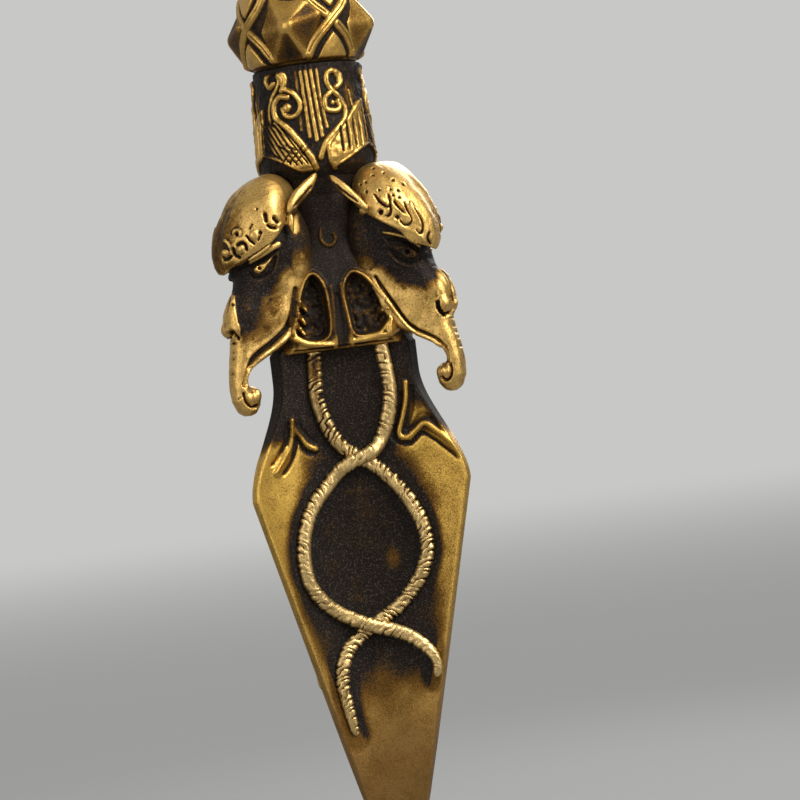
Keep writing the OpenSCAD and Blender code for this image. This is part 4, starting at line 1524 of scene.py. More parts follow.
    def cheeks(self) -> Object:
        """Makes cheeks, snout and trunk: a plate in the flange's plane, swelled to its thickness.

        Returns:
            The plate.
        """
        outline = [*self.profile, *self.lip]
        low, high = np.min(outline, axis=0) - 0.5, np.max(outline, axis=0) + 0.5
        steps = np.ceil((high - low) / self.grid).astype(int)
        deselect_all()
        columns, rows = (int(count) for count in steps)
        bpy.ops.mesh.primitive_grid_add(x_subdivisions=columns, y_subdivisions=rows, size=2)
        plate = bpy.context.object
        flat = points(plate)
        spot = (flat[:, :2] + 1) / 2 * (high - low) + low
        place_points(plate, np.stack([spot[:, 0], np.zeros(len(spot)), spot[:, 1]], 1))
        kept = depth_inside(spot[:, 0], spot[:, 1], outline) > 0.02
        bpy.ops.object.mode_set(mode="EDIT")
        bpy.ops.mesh.select_mode(type="VERT")
        bpy.ops.mesh.select_all(action="DESELECT")
        bpy.ops.object.mode_set(mode="OBJECT")
        plate.data.vertices.foreach_set("select", ~kept)
        bpy.ops.object.mode_set(mode="EDIT")
        bpy.ops.mesh.delete(type="VERT")
        bpy.ops.mesh.select_all(action="SELECT")
        bpy.ops.mesh.extrude_region_move(TRANSFORM_OT_translate={"value": (0, 0.01, 0)})
        close_outwards()
        skin = points(plate)
        half = self.half_thickness(skin[:, 0], skin[:, 2])
        skin[:, 1] = np.where(skin[:, 1] > 0.005, half, -half)
        place_points(plate, skin)
        return plate

    def half_thickness(self, r: Array, z: Array) -> Array:
        """Blends the plate's thickness from its listed places, and rounds it off at its outline.

        Args:
            r: the points' places outwards.
            z: their places up.

        Returns:
            Half the thickness at each point.
        """
        weights, total = np.zeros(np.shape(r)), np.zeros(np.shape(r))
        for at_r, at_z, half in self.thickness:
            weight = 1 / ((r - at_r) ** 2 + (z - at_z) ** 2 + 4.0) ** 1.7
            weights += weight
            total += weight * half
        full = total / weights
        to_lip, _ = nearest(r, z, self.lip)
        to_edge, _ = nearest(r, z, (self.lip[-1], *self.profile, self.lip[0]))
        rounding = np.minimum(full, 2.1)
        soft, crisp = (
            np.sqrt(np.clip(1 - (1 - np.clip(gap / wide, 0, 1)) ** 2, 0, 1))
            for gap, wide in ((to_edge, rounding), (to_lip, 0.9))
        )
        return np.maximum(full * soft * crisp, 0.12)

    def clean(self, head: Object, q: Array, z: Array, carved: Array, brow: Array, facing: Array) -> Array:
        """Says how clean the head is: dark round the eyes and by the nose, bright on brow and trunk,
        with painted shade under the brow's rim and on its outer flank.

        Args:
            head: the shaped head.
            q: how far out its vertices show on the drawn sides.
            z: how high they are.
            carved: whether they are on the carved side.
            brow: 1 on the brow's skin and 0 elsewhere.
            facing: how much the skin faces the viewer.

        Returns:
            How clean each vertex is.
        """

        def spot(at_q: float, at_z: float, wide: float, tall: float) -> Array:
            """A soft oval round a point."""
            return np.exp(-(((q - at_q) / wide) ** 2) - ((z - at_z) / tall) ** 2)

        # takes the first value on the carved side and the second on the worn one
        side = partial(np.where, carved)
        face = 1 - brow
        zone = side(
            ease((depth_inside(q, z, self.carved_shade) + 2.0) / 4.2),
            ease((depth_inside(q, z, self.worn_shade) + 1.6) / 3.4),
        )
        carved_cheek = 0.55 * spot(14.6, 105.2, 3.4, 2.2) + 0.4 * spot(16.4, 102.6, 1.2, 2.6)
        worn_cheek = 0.8 * spot(15.0, 104.0, 2.2, 4.4) + 0.3 * spot(12.6, 105.2, 3.6, 3.4)
        worn_cheek += 0.3 * ease((q - 7.6) / 3.0) * ease((z - 96) / 4)
        clean = side(0.9, 0.74) - 0.85 * side(carved_cheek, worn_cheek) + 0.06 * speckle(q * 1.1, z, 1.7, 35)
        # dark towards the stem above the cheeks
        inner = ease((z - side(106.0, 107.6)) / 4.5) * ease((side(11.0, 8.6) - q) / 1.4)
        clean = mix(clean, side(0.14, 0.26) - 0.3 * ease((z - side(109.5, 111.0)) / 3.0), inner)
        nose = ease((q - side(17.6, 15.9)) / side(1.7, 0.6)) * ease((106.6 - z) / 2.2)
        clean = np.maximum(clean, side(0.82 - 0.3 * ease((z - 103.5) / 2.5), 0.68) * nose)
        # patina and painted shade round the eyes, under the brow's rim
        clean = mix(clean, -0.45, zone * face)
        # lids and eyeballs, and the carved side's brow ridge
        lid, ball, ridge = (relief(q, z, drawn) for drawn in (self.worn_lid, self.worn_ball, self.carved_eye))
        clean += side(ridge, np.maximum(lid, ball)) * ease((facing - 0.1) / 0.2) * face
        ears = side(relief(q, z, self.carved_ear), relief(q, z, self.worn_ear)) * ease((facing - 0.3) / 0.3)
        clean = np.maximum(clean, ears * (brow < 0.5))
        # painted shade: the brow is darker on its outer flank, which turns away from the light
        outer = ease((q - side(14.5, 9.5)) / side(5.0, 7.5))
        clean = mix(clean, 0.98 - side(0.34, 0.58) * outer, brow)
        return clean - mix(3.4, 0.9, zone * face) * hollows(head, 14) - 5.0 * np.clip(hollows(head, 4), 0, 1)


# Neck and knots


@dataclass
class Neck(SubAssembly):
    """The neck: ridges and scrolls on each face, and leaf caps over the heads."""

    foot: float = 124.6
    top: float = 143.5
    columns: int = 480
    rows: int = 150
    # the radius on which the ornament is drawn, then the sleeve's own at each height
    radius: float = 9.6
    profile: Line = ((124.6, 8.3), (126.4, 9.5), (128, 9.85), (134, 9.5), (141, 9.1), (143.5, 9.0))
    # the leaves' caps over the left and the right head
    caps: tuple[Line, Line] = (
        ((-11.5, 134.6), (-8.4, 134.5), (-6.4, 133.2), (-4.2, 130.8), (-1.3, 126.1), (-3.6, 125.4),
         (-4.9, 126.4), (-6.9, 127.7), (-11.5, 129.2)),
        ((11.5, 138.2), (8.9, 137.0), (6.9, 135.4), (5.4, 134.0), (4.3, 132.7), (2.2, 130.4), (1.1, 128.4),
         (1.2, 126.6), (2.5, 125.6), (4.6, 126.7), (7.7, 128.4), (11.5, 129.2)),
    )
    # the upright ridges of a face's middle
    ridges: tuple[Ornament, ...] = (
        Stroke(((-2.5, 142.3), (-2.6, 132.6)), 0.3, 0.16),
        Stroke(((-1.65, 142.7), (-1.3, 131.3)), 0.4, 0.28),
        Stroke(((-0.8, 143.0), (-0.2, 130.6)), 0.42, 0.34),
        Stroke(((0.15, 143.1), (0.8, 131.2)), 0.42, 0.34),
        Stroke(((1.25, 143.0), (1.25, 137.9), (1.8, 132.6)), 0.38, 0.28),
    )
    # scrolls, leaf rim and rib on its left
    left: tuple[Ornament, ...] = (
        Stroke(((-7.0, 140.9), (-7.9, 140.5), (-8.6, 141.4), (-8.0, 142.6), (-6.5, 143.0), (-5.2, 142.5),
                (-4.6, 141.5), (-4.9, 140.3), (-5.4, 139.6)), 0.56, 0.55),
        Stroke(((-6.0, 142.2), (-5.9, 141.0), (-6.6, 139.8), (-7.6, 138.6), (-8.3, 137.1), (-8.4, 135.7),
                (-8.3, 134.4)), 0.42, 0.42),
        Stroke(((-5.3, 139.8), (-3.9, 139.3), (-2.9, 138.4), (-2.3, 137.0), (-2.7, 135.6), (-3.9, 135.0),
                (-5.1, 135.4), (-5.5, 136.5)), 0.5, 0.55),
        Ball((-4.7, 136.6), 0.85, 0.8),
        Stroke(((-5.9, 142.5), (-5.1, 141.5), (-5.2, 140.2)), 0.85, 0.5, True),
        Stroke(((-10.4, 129.3), (-8.4, 128.7), (-6.7, 127.9), (-4.8, 126.7), (-3.4, 125.8),
                (-1.7, 125.8)), 0.34, 0.62),
        Stroke(((-4.4, 138.3), (-5.8, 138.6), (-6.9, 137.8), (-7.3, 136.3), (-6.8, 134.9), (-5.2, 133.5),
                (-3.9, 131.8), (-2.5, 129.7), (-1.3, 127.6), (-0.9, 125.9)), 0.58, 0.66),
        Stroke(((-7.4, 134.4), (-6.1, 133.0), (-4.3, 130.7), (-2.9, 128.3), (-1.6, 126.0)), 0.3, 0.45),
    )
    # scrolls, leaf rim and rib on its right
    right: tuple[Ornament, ...] = (
        Stroke(((4.5, 139.2), (5.4, 139.9), (5.5, 141.2), (4.2, 142.0), (3.1, 141.6), (2.8, 140.2),
                (3.4, 138.9), (4.2, 138.0), (5.1, 136.8), (5.6, 135.2), (5.0, 133.6), (3.4, 132.1),
                (1.9, 130.8), (0.9, 129.6), (0.1, 127.6)), 0.56, 0.6),
        Stroke(((3.5, 138.5), (2.3, 137.7), (1.9, 136.4), (2.3, 135.5), (3.7, 135.2), (4.6, 135.8),
                (4.3, 136.7)), 0.54, 0.52),
        Ball((3.4, 136.6), 0.5, 0.35),
        Stroke(((5.1, 139.6), (5.4, 140.8), (4.5, 141.8)), 0.75, 0.52, True),
        Stroke(((2.6, 126.0), (4.6, 127.1), (7.5, 128.7), (10.2, 129.6)), 0.34, 0.62),
        Stroke(((4.3, 132.6), (2.3, 130.5), (1.5, 129.3), (1.6, 128.1), (1.7, 127.0),
                (2.5, 125.5)), 0.46, 0.5),
        Stroke(((7.2, 138.5), (7.6, 135.4)), 0.3, 0.2),
    )

    def ornaments(self) -> list[Ornament]:
        """Draws all that stands out from a face of the neck, and what is cut in.

        Returns:
            The leaves' caps, ridges, scrolls, the hatch on the left leaf and the right one's flutes.
        """
        # the hatch runs down to the leaf's rim and leaves it whole
        runs = ((a, min(4.2, 2.6 + 0.53 * (a + 11.8))) for a in (-11.8, -10.9, -10.0, -9.1, -8.2, -7.3, -6.4))
        hatch = [Stroke(((a, 134.0), (a + run, 134.0 - 1.68 * run)), 0.2, -0.32) for a, run in runs]
        hatch += [Stroke(((a, 130.4), (a + 3.0, 128.4)), 0.18, -0.28) for a in (-9.8, -6.8, -5.4)]
        hatch += [Stroke(((a, 127.3), (a + 2.6, 129.9)), 0.18, -0.26) for a in (-6.6, -5.2, -4.0)]
        flutes = [
            Stroke(((a, 132.6 + 0.55 * (a - 4)), (a - 0.1, 128.2 + 0.24 * (a - 4))), 0.3, -0.42, True)
            for a in (4.0, 5.3, 6.7, 8.1, 9.5)
        ]
        caps = [Patch(cap, 0.5, 0.5) for cap in self.caps]
        return [*caps, *self.ridges, *self.left, *self.right, *hatch, *flutes]

    def build(self) -> None:
        """Makes the neck and dresses it."""
        neck = wrapped_grid("neck_and_leaves", self.columns, self.rows, self.shape)
        skin = points(neck)
        x, z = np.radians(from_face(azimuth(skin))) * self.radius, skin[:, 2]
        clean = 0.06 + 1.5 * relief(x, z, self.ornaments()) - 2.6 * hollows(neck, 10)
        leaf = np.maximum(*(depth_inside(x, z, cap) for cap in self.caps))
        hatched = ease((-x - 4.0) / 4.0) * ease((135.5 - z) / 1.5) * ease((x + 10.6) / 0.6)
        clean += -0.06 * ease(leaf / 0.4) - 0.34 * hatched
        # the right side is rubbed in upright streaks
        streaks = 0.5 + 0.5 * speckle(x, z / 8, 0.42, 51)
        across = ease((x - 5.2) / 1.6) * ease((9.9 - x) / 1.2)
        clean += 0.5 * streaks * across * ease((141.0 - z) / 2.5) * ease((z - 128.0) / 1.5)
        clean = mix(clean, 0.0, np.maximum(ease((z - 142.2) / 0.6), ease((125.6 - z) / 0.5)))
        # painted shade: the neck is darkened between its faces, where the heads stand out below and
        # its skin turns away from the light
        paint(neck, clean - 0.6 * ease((np.abs(x) - np.where(x < 0, 7.6, 8.3)) / 1.4))
        self.dress(neck, Slot.DARK, "neck_sleeve", "leaf_collar", "neck_scrolls")

    def shape(self, u: Array, v: Array) -> Array:
        """Shapes the neck: a waisted sleeve with all that is raised on its faces.

        Args:
            u: shares of the way round.
            v: shares of the way along.

        Returns:
            The places of the skin.
        """
        size, t = capped(v)
        z = mix(self.foot, self.top, t)
        angle = u * 360.0
        x = np.radians(from_face(angle)) * self.radius
        r = np.interp(z, *zip(*self.profile)) + relief(x, z, self.ornaments())
        skin = around(r + 0.09 * speckle(x + 20, z, 0.7, 12), np.radians(angle), z)
        skin[..., :2] *= size[..., None]
        return skin


@dataclass
class Knot(SubAssembly):
    """A knot of the hilt: crossed straps over plain plates, with a faceted stud on each side."""

    names: tuple[str, str] = ("lower_knot", "upper_knot")
    feet: tuple[float, float] = (143.5, 189.5)
    height: float = 14.0
    turn: float = -18.0
    end_radius: float = 9.5
    mid_radius: float = 10.7
    columns: int = 440
    rows: int = 100
    stud_seat: float = 9.2
    stud_ring: Line = ((-4.6, -0.9), (-3.0, -6.4), (3.2, -6.2), (6.3, 1.1), (3.9, 3.9), (-2.5, 5.2))
    stud_tip: tuple[float, float] = (0.4, -0.6)
    # how clean a stud is by the angle round its tip: its ridges are bright with wear and painted
    # highlight, its top facet lighter and its right and lower facets darker with painted light and shade
    stud_wear_and_shade: Line = (
        (-180, 0.46), (-150, 0.38), (-125, 0.42), (-115, 0.26), (-92, 0.12), (-72, 0.24), (-64, 0.9),
        (-56, 0.34), (-25, 0.2), (16, 0.14), (40, 0.14), (50, 0.95), (60, 0.8), (90, 0.7), (114, 0.66),
        (124, 0.55), (150, 0.46), (180, 0.46),
    )

    def ornaments(self) -> list[Ornament]:
        """Draws the gap between two studs, as [across, up from the middle].

        Returns:
            The plates above and below, the crossed straps and the grooves along them.
        """
        plate = np.array([(-3.4, 6.5), (-2.1, 4.2), (-0.4, 2.2), (0.4, 2.2), (2.1, 4.2), (3.4, 6.5)])
        return [
            Patch(plate * (1, -1), 0.6, 0.4),
            Patch(plate, 0.6, 0.4),
            Stroke(((-4.9, -5.6), (-3.2, -3.0), (0.1, 0.2), (3.3, 3.2), (4.9, 5.8)), 0.95, 0.85),
            Stroke(((-4.9, 5.6), (-3.2, 3.0), (-0.9, 0.9)), 0.9, 0.62),
            Stroke(((0.9, -0.7), (3.2, -3.0), (4.9, -5.6)), 0.9, 0.62),
            Stroke(((-4.7, -5.2), (-3.1, -2.9), (0.1, 0.2), (3.3, 3.1), (4.7, 5.4)), 0.16, -0.3),
            Stroke(((-4.6, 5.2), (-3.1, 2.9), (-1.1, 1.1)), 0.16, -0.28),
            Stroke(((1.1, -0.9), (3.1, -2.9), (4.6, -5.2)), 0.16, -0.28),
        ]

    def build(self) -> None:
        """Makes both knots and their studs and dresses them."""
        for name, foot in zip(self.names, self.feet):
            body = wrapped_grid(f"{name}_body", self.columns, self.rows, partial(self.shape, foot=foot))
            x, z = self.local(points(body), foot)
            clean = 0.12 + 1.25 * relief(x, z, self.ornaments()) - 2.4 * hollows(body, 10)
            clean = mix(clean, 0.0, ease((np.abs(z) - 6.45) / 0.3))
            paint(body, clean)
            self.dress(body, Slot.DARK, name, f"{name}_straps")
            self.studs(name, foot)

    def local(self, skin: Array, foot: float) -> tuple[Array, Array]:
        """Across and up from the middle of the nearest gap between studs."""
        angle = azimuth(skin) - self.turn
        return np.radians(angle % 90 - 45) * self.mid_radius, skin[..., 2] - foot - self.height / 2

    def shape(self, u: Array, v: Array, foot: float) -> Array:
        """Shapes a knot's body: a bulging drum with the crossed straps raised on it.

        Args:
            u: shares of the way round.
            v: shares of the way along.
            foot: the height of its lower end.

        Returns:
            The places of the skin.
        """
        size, t = capped(v)
        z = foot + self.height * t
        r = mix(self.end_radius, self.mid_radius, np.sin(math.pi * t))
        r = r - 0.7 * (1 - ease(np.minimum(t, 1 - t) / 0.09))
        skin = around(r, u * math.tau, z)
        x, up = self.local(skin, foot)
        thick = r - 0.35 + relief(x, up, self.ornaments()) + 0.05 * speckle(x + 20, up + 20, 1.1, 14)
        skin[..., :2] *= (thick / r * size)[..., None]
        return skin

    def studs(self, name: str, foot: float) -> None:
        """Makes a knot's four studs: six-sided, with soft facets up to a small flat tip.

        Args:
            name: the knot's name.
            foot: the height of its lower end.
        """
        ring = np.array(self.stud_ring)
        copies = []
        for k in range(4):
            deselect_all()
            bpy.ops.mesh.primitive_circle_add(vertices=6, radius=1, fill_type="NGON")
            stud = bpy.context.object
            place_points(stud, np.insert(ring, 2, -1.2, axis=1))
            open_all()
            bpy.ops.mesh.extrude_region_move(TRANSFORM_OT_translate={"value": (0, 0, 1.35)})
            bpy.ops.mesh.extrude_region_move(TRANSFORM_OT_translate={"value": (-0.1, 0.0, 3.4)})
            bpy.ops.transform.resize(value=(0.12, 0.1, 1))
            close_outwards()
            across, up, out = points(stud).T
            seated = np.stack([self.stud_seat + out, across, up + foot + self.height / 2], 1)
            place_points(stud, turned(seated, 90.0 * k + self.turn))
            copies.append(stud)
        studs = fused(f"{name}_studs_cast", copies, 0.21, 26)
        skin = points(studs)
        reach = np.hypot(skin[:, 0], skin[:, 1])
        angle = azimuth(skin) - self.turn
        across = np.radians((angle + 45) % 90 - 45) * reach - self.stud_tip[0]
        up = skin[:, 2] - foot - self.height / 2 - self.stud_tip[1]
        near_tip = 1 - ease((np.hypot(up, across) - 0.4) / 1.2)
        # painted light and shade on the stud's facets, by the angle round its tip
        clean = mix(np.interp(np.degrees(np.arctan2(up, across)), *zip(*self.stud_wear_and_shade)), 0.8, near_tip)
        paint(studs, clean + 0.05 * (reach - 11.0) - 2.0 * hollows(studs, 24))
        self.dress(studs, Slot.BRIGHT, f"{name}_studs")


# Hilt above the knot


@dataclass
class Turning(SubAssembly):
    """A turned piece whose skin may swell and sink round its axis."""

    name: str = "turning"
    node: str = "grip"
    slot: Slot = Slot.DARK
    foot: float = 0.0
    outline: Line = ()
    columns: int = 240
    rows: int = 120
    base_clean: float = 0.5
    swell: Callable[[Array, Array], Array] | None = None

    def build(self) -> None:
        """Makes the piece and dresses it."""
        piece = wrapped_grid(self.name, self.columns, self.rows, self.shape)
        paint(piece, self.base_clean - 3.0 * hollows(piece, 8))
        self.dress(piece, self.slot, self.node)

    def shape(self, u: Array, v: Array) -> Array:
        """Turns the outline, which runs from the axis to the axis again, and swells it.

        Args:
            u: shares of the way round.
            v: shares of the way along.

        Returns:
            The places of the skin.
        """
        line = np.asarray(self.outline, float)
        run = distances(line)
        s = v * run[-1]
        r, z = np.interp(s, run, line[:, 0]), np.interp(s, run, line[:, 1])
        a = u * math.tau
        if self.swell:
            r = r + self.swell(a, z) * ease(r / 3.0)
        return around(r, a, z + self.foot)


@dataclass
class PetalCup(SubAssembly):
    """A flaring cup of pointed petals with raised midribs, closed all round its wall."""

    name: str = "cup"
    node: str = "lower_petal_cup"
    foot: float = 160.0
    flip: bool = False
    foot_radius: float = 6.3
    mouth_radius: float = 9.5
    height: float = 8.0
    wall: float = 1.1
    petals: int = 8
    columns: int = 320
    rows: int = 80

    def build(self) -> None:
        """Makes the cup and dresses it."""
        cup = wrapped_grid(self.name, self.columns, self.rows, self.shape)
        skin = points(cup)
        rise = np.abs(skin[:, 2] - self.foot) / self.height
        inside = ease((self.foot_radius + 0.4 - np.hypot(skin[:, 0], skin[:, 1])) / 0.4)
        share = np.arctan2(skin[:, 1], skin[:, 0]) / math.tau * self.petals
        gap = 1 - np.abs((share + 0.5) % 1 * 2 - 1)
        clean = 0.74 - 5.0 * hollows(cup, 8) - 0.6 * (1 - ease(rise / 0.5)) - 0.5 * inside
        # dark between the petals, bright along their midribs
        paint(cup, clean - 0.6 * bell(gap, 0.3) + 0.15 * bell(1 - gap, 0.12))
        self.dress(cup, Slot.BRIGHT, self.node)

    def shape(self, u: Array, v: Array) -> Array:
        """Shapes the cup: up the outside, over the petals' tips and down the inside.

        Args:
            u: shares of the way round.
            v: shares of the way along.

        Returns:
            The places of the skin.
        """
        beat = np.abs((u * self.petals + 0.5) % 1 * 2 - 1)
        tall = self.height * (1 - 0.42 * beat**1.8)
        outside = v < 0.5
        t = np.clip(np.where(outside, v * 2, 2 - v * 2), 0.0, 1.0)
        z = tall * t
        flare = mix(self.foot_radius, self.mouth_radius, (z / self.height) ** 1.35)
        rib = 0.4 * bell(beat, 0.1) + 0.34 * (1 - beat**2) - 0.34 * bell(1 - beat, 0.16)
        bead = 0.3 * bell(tall - z, 0.55)
        wall = self.wall * np.clip(1 - 0.55 * t, 0.3, 1)
        skin = flare + wall * np.sqrt(np.clip(1 - t**8, 0, 1)) + rib * ease(t / 0.3) + bead * (t < 0.99)
        r = np.minimum(np.where(outside, skin, flare), self.mouth_radius + 0.6)
        return around(r, u * math.tau, (-z if self.flip else z) + self.foot)


@dataclass
class Prongs(SubAssembly):
    """The half-vajra's four bowed prongs, keeled along the back."""

    foot: float = 211.5
    height: float = 50.0
    span: float = 17.0
    columns: int = 40
    rows: int = 200
    thick: float = 3.6
    spike: float = 4.6
    # shares of the span, the height and the thickness along a prong
    bow: tuple[tuple[float, float, float], ...] = (
        (0.26, 0.004, 0.42), (0.3, 0.05, 0.42), (0.44, 0.16, 0.44), (0.5, 0.28, 0.5),
        (0.45, 0.44, 0.47), (0.34, 0.58, 0.39), (0.25, 0.68, 0.31),
    )
    # the tip: its distance from the spike's skin as a share of the thickness, then as above
    tip: tuple[tuple[float, float, float], ...] = ((0.3, 0.735, 0.22), (0.1, 0.77, 0.12))
    azimuths: dict[str, float] = field(
        default_factory=lambda: {"front": 270.0, "right": 0.0, "rear": 90.0, "left": 180.0}
    )

    def route(self) -> Array:
        """Draws the middle line of a prong.

        Returns:
            Rows of [outwards, up, radius].
        """
        rows = [(self.span * share, up, thick) for share, up, thick in self.bow]
        rows += [(self.spike / 2 + self.thick * share, up, thick) for share, up, thick in self.tip]
        return np.array([(r, self.foot + up * self.height, thick * self.thick) for r, up, thick in rows])

    def build(self) -> None:
        """Makes the prongs and dresses them."""
        for side, turn in self.azimuths.items():
            prong = wrapped_grid(f"vajra_prong_{side}", self.columns, self.rows, self.shape)
            place_points(prong, turned(points(prong), turn))
            x, y, z = points(prong).T
            clean = 0.78 - 4.0 * hollows(prong, 8) - 0.4 * ease((217 - z) / 5)
            inside = ease((self.span * 0.36 - np.hypot(x, y)) / 2) * ease((243 - z) / 5)
            paint(prong, clean - 0.5 * inside)
            self.dress(prong, Slot.BRIGHT, f"prong_{side}")

    def shape(self, u: Array, v: Array) -> Array:
        """Shapes one prong, bowed in the plane of X and Z.

        Args:
            u: shares of the way round.
            v: shares of the way along.

        Returns:
            The places of the skin.
        """
        size, t = capped(v)
        line = smooth_line(self.route(), 16)
        run = distances(line)
        s = t[:, 0] * run[-1]
        r, z, thick = (np.interp(s, run, column)[:, None] for column in line.T)
        ahead = directions(np.hstack([r, z]))
        share = s[:, None] / run[-1]
        a = u * math.tau
        keel = 1 + 0.14 * np.cos(4 * a) * ease(share / 0.2)
        bands = 0.16 * sum(bell(share - at, 0.012) for at in (0.1, 0.14))
        wide = thick * (keel + bands) * size
        out, side = wide * np.cos(a), wide * np.sin(a)
        up = np.maximum(z - out * ahead[:, 0:1], self.foot + 0.05)
        return np.stack([r + out * ahead[:, 1:2], side, up], -1)


# Stage


@dataclass
class Studio:
    """A pale floor, soft lights and the camera at the photograph's angle."""

    distance: float = 0.6
    frame_width: float = 0.136
    azimuth: float = 5.0
    roll: float = 7.15
    target: tuple[float, float, float] = (0.0, 0.0, 0.0857)
    shift: float = 0.009
    backdrop: str = "#C8C8C6"
    dark_side: str = "#4A4642"
    floor_near: str = "#8C8C8B"
    floor_glow: str = "#9C9C9B"
    sensor: float = 36.0
    # each light's name, place, size and power
    lights: tuple[tuple[str, tuple[float, float, float], float, float], ...] = (
        ("key_window", (0.36, -0.4, 0.56), 0.4, 7.2),
        ("fill_left", (-0.5, -0.5, 0.3), 0.6, 2.4),
        ("rim_back", (0.25, 0.5, 0.4), 0.4, 3.0),
        ("card_right", (0.5, -0.62, 0.16), 0.25, 1.1),
    )

    def build(self) -> None:
        """Sets everything up."""
        self.camera()
        self.world()
        self.floor()
        for light in self.lights:
            self.light(*light)
        bpy.context.scene.view_settings.view_transform = "Standard"

    def camera(self) -> None:
        """Places the camera level with the dagger's middle, turned and tilted as in the photograph."""
        a = math.radians(self.azimuth)
        back = Vector((-math.sin(a), -math.cos(a), 0))
        right = Vector((math.cos(a), -math.sin(a), 0))
        spot = Vector(self.target) + right * self.shift + back * self.distance
        turn = Matrix((right, Vector((0, 0, 1)), back)).transposed()
        turn = turn @ Matrix.Rotation(-math.radians(self.roll), 3, "Z")
        lens = bpy.data.cameras.new("camera")
        lens.sensor_width = self.sensor
        lens.lens = self.sensor * self.distance / self.frame_width
        lens.clip_start = 0.01
        camera = bpy.data.objects.new("camera", lens)
        bpy.context.scene.collection.objects.link(camera)
        camera.matrix_world = Matrix.Translation(spot) @ turn.to_4x4()
        bpy.context.scene.camera = camera

    def world(self) -> None:
        """A pale room: brighter behind the dagger and towards the left, darker behind the camera."""
        world, tree = bare_tree(bpy.data.worlds, "studio")
        add = partial(add_node, tree)
        ray = add("ShaderNodeTexCoord").outputs["Generated"]
        split = add("ShaderNodeSeparateXYZ", {"Vector": ray}).outputs
        # from dark to pale behind the dagger, and from bright to dim on the right
        ranges = ((split["Y"], -0.9, 0.5, 0.2, 1.0), (split["X"], -0.3, 0.8, 1.0, 0.42))
        toward, side = (
            add("ShaderNodeMapRange", dict(zip(RANGE, row)), interpolation_type="SMOOTHSTEP").outputs[0]
            for row in ranges
        )
        tones = {"Factor_Float": toward, "A_Color": linear(self.dark_side), "B_Color": linear(self.backdrop)}
        colour = add("ShaderNodeMix", tones, data_type="RGBA").outputs[MIXED]
        room = add("ShaderNodeBackground", {"Color": colour, "Strength": side})
        # the camera itself sees an even backdrop
        pale = add("ShaderNodeBackground", {"Color": linear(self.backdrop), "Strength": 1.0})
        seen = add("ShaderNodeLightPath").outputs["Is Camera Ray"]
        shaders = {"Fac": seen, "Shader": room.outputs[0], "Shader_001": pale.outputs[0]}
        both = add("ShaderNodeMixShader", shaders).outputs["Shader"]
        add("ShaderNodeOutputWorld", {"Surface": both})
        bpy.context.scene.world = world

    def floor(self) -> None:
        """A plain floor whose far part glows in the backdrop's colour, so that no horizon shows."""
        deselect_all()
        bpy.ops.mesh.primitive_circle_add(vertices=96, radius=6.0, fill_type="NGON", location=(0, 0, -0.0002))
        floor = bpy.context.object
        floor.name = "studio_floor"
        material, tree = bare_tree(bpy.data.materials, "Pale_Floor_Glowing_Far")
        add = partial(add_node, tree)
        place = add("ShaderNodeTexCoord").outputs["Object"]
        reach = add("ShaderNodeVectorMath", {"Vector": place}, operation="LENGTH").outputs["Value"]
        far, tone = (
            add("ShaderNodeMapRange", dict(zip(RANGE, (reach, *ends))), interpolation_type=kind).outputs[0]
            for ends, kind in (((0.1, 0.42), "SMOOTHERSTEP"), ((0.5, 2.2), "SMOOTHSTEP"))
        )
        matt = add("ShaderNodeBsdfDiffuse", {"Color": linear(self.floor_near)})
        tones = {"Factor_Float": tone, "A_Color": linear(self.floor_glow), "B_Color": linear(self.backdrop)}
        colour = add("ShaderNodeMix", tones, data_type="RGBA").outputs[MIXED]
        # painted light: the far floor glows for every ray, though it is no lamp, and so lights the dagger a
        # little
        glow = add("ShaderNodeEmission", {"Color": colour, "Strength": 1.0})
        shaders = {"Fac": far, "Shader": matt.outputs["BSDF"], "Shader_001": glow.outputs["Emission"]}
        both = add("ShaderNodeMixShader", shaders).outputs["Shader"]
        add("ShaderNodeOutputMaterial", {"Surface": both})
        floor.data.materials.append(material)

    def light(self, name: str, spot: tuple[float, float, float], size: float, power: float) -> None:
        """Adds a square soft light that looks at the dagger's middle.

        Args:
            name: its name.
            spot: its place, in metres.
            size: the length of its sides.
            power: its power in watts.
        """
        lamp = bpy.data.lights.new(name, "AREA")
        lamp.size = size
        lamp.energy = power
        piece = bpy.data.objects.new(name, lamp)
        piece.location = spot
        aim = Vector((0, 0, 0.1)) - Vector(spot)
        piece.rotation_euler = aim.to_track_quat("-Z", "Y").to_euler()
        bpy.context.scene.collection.objects.link(piece)


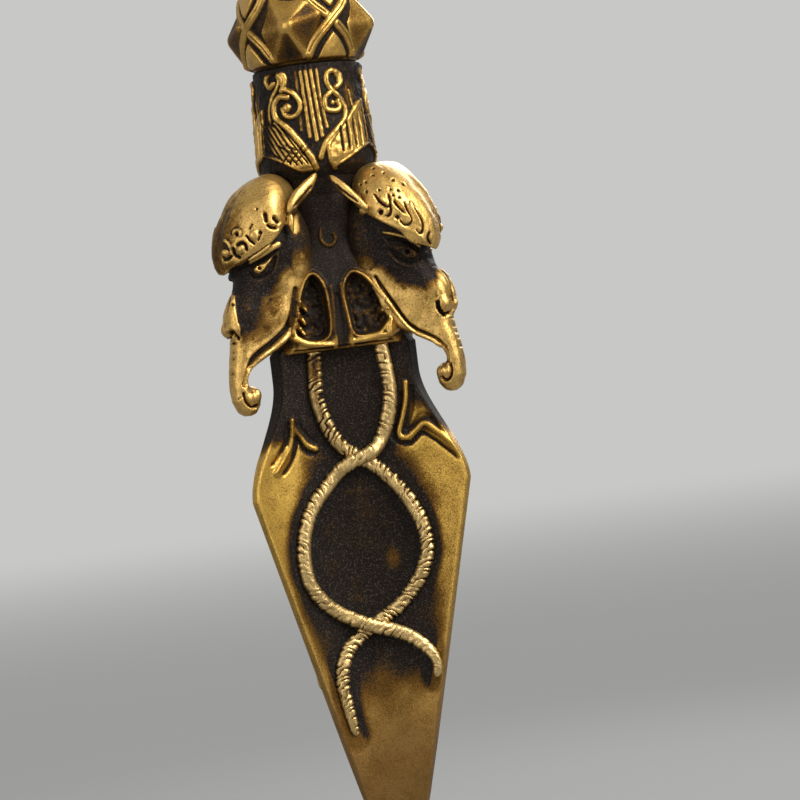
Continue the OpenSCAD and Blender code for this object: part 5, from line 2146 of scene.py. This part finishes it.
def hilt(bright: bpy.types.Material, dark: bpy.types.Material) -> list[SubAssembly]:
    """Lists the turned and petalled pieces from the grip up to the spike, with the CAD's sizes.

    Args:
        bright: the rubbed brass.
        dark: the brass under dark patina.

    Returns:
        The pieces, ready to build.
    """
    grip = (
        (0, 0), (8.7, 0), (8.7, 1.6), (6.3, 2.5), (6.2, 12), (7.1, 13.5), (8.2, 13.6), (8.2, 18.4),
        (7.1, 18.5), (6.2, 20), (6.3, 29.5), (8.7, 30.4), (8.7, 32), (0, 32),
    )
    half_band = ((0, -2.5), (7.6, -2.5), (8.1, -1.9), (8.2, -1.2), (8.35, -0.8), (8.5, 0))
    band = (*half_band, *((r, -z) for r, z in half_band[-2::-1]))
    seat = (
        (0, 0), (8.4, 0), (8.4, 1.6), (5.9, 2.6), (5.8, 5.8), (7.4, 6.8), (7.4, 7.6), (7.0, 8.0), (0, 8.0),
    )
    # the spike, as shares of its radius and height
    shares = (
        (1.22, 0.03), (0.74, 0.07), (1, 0.18), (0.91, 0.4), (0.7, 0.64), (1.17, 0.71), (1.17, 0.79),
        (0.65, 0.82), (1.22, 0.86), (1.24, 0.9), (0.78, 0.945), (0.3, 0.985), (0.1, 1),
    )
    radius, height = 2.3, 50.0
    spike = [(0, 0), (2.8, 0), *((r * radius, z * height) for r, z in smooth_line(shares, 6)), (0, height)]
    return [
        Turning(
            dark, "grip_core", "grip", Slot.DARK, 157.5, grip, columns=256, rows=200, base_clean=0.42,
            swell=lambda a, z: 0.3 * np.cos(16 * a) * ease((3.6 - abs(abs(z - 16) - 8)) / 1.5),
        ),
        Turning(
            bright, "grip_beads", "grip_band", Slot.BRIGHT, 173.5, band, columns=320, rows=80, base_clean=0.6,
            swell=lambda a, z: 0.55 * (np.abs(np.cos(13 * a)) - 0.5) * ease((0.95 - abs(z)) / 0.5),
        ),
        Turning(dark, "lotus_foot", "lotus_seat", Slot.DARK, 203.5, seat, rows=100, base_clean=0.4),
        Turning(
            bright, "vajra_spike", "middle_prong", Slot.BRIGHT, 211.5, spike, columns=96, rows=260,
            base_clean=0.75,
            swell=lambda a, z: -0.12 * (1 - np.abs(np.cos(2 * a))) * ease((30 - z) / 6),
        ),
        PetalCup(bright, "grip_petals_lower", "lower_petal_cup", 160.0),
        PetalCup(bright, "grip_petals_upper", "upper_petal_cup", 187.0, flip=True),
        PetalCup(
            bright, "lotus_crown", "lotus_petals", 206.2, foot_radius=5.9, mouth_radius=10.4, height=9.0
        ),
    ]


def main() -> None:
    """Builds every sub-assembly in order, then the stage."""
    logging.basicConfig(level=logging.INFO, format="%(name)s: %(message)s")
    # warm sandy brass, browner and thinner of shine towards the point
    blade_metal = CastBrass(
        "Antique_Brass_Blade", clean="#C8A04A", low="#937040", ragged=0.42, speck=0.2, sand=0.26
    ).material()
    # the heads' yellow brass, polished by handling over black hollows
    gilt = CastBrass("Polished_Antique_Brass", clean="#D0A95F", ragged=0.34, speck=0.22, sand=0.24).material()
    # paler brass of studs, petals and serpents, rubbed on all that stands out
    bright = CastBrass("Rubbed_Antique_Brass", clean="#CDAF74", ragged=0.3).material()
    # brass that shows only on the edges of a brown-black skin
    dark = CastBrass("Dark_Patinated_Brass", clean_rough=0.4).material()
    parts: list[SubAssembly] = [
        Blade(blade_metal), Serpents(bright), JawCollar(dark), Makara(gilt), Neck(dark), Knot(dark),
        *hilt(bright, dark), Prongs(bright),
    ]
    for part in parts:
        part.build()
    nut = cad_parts["tang_nut"]
    nut.data.materials.clear()
    nut.data.materials.append(PlainSteel().material())
    log.info("tang_nut: kept from the CAD in plain steel")
    Studio().build()


if __name__ == "__main__":
    main()
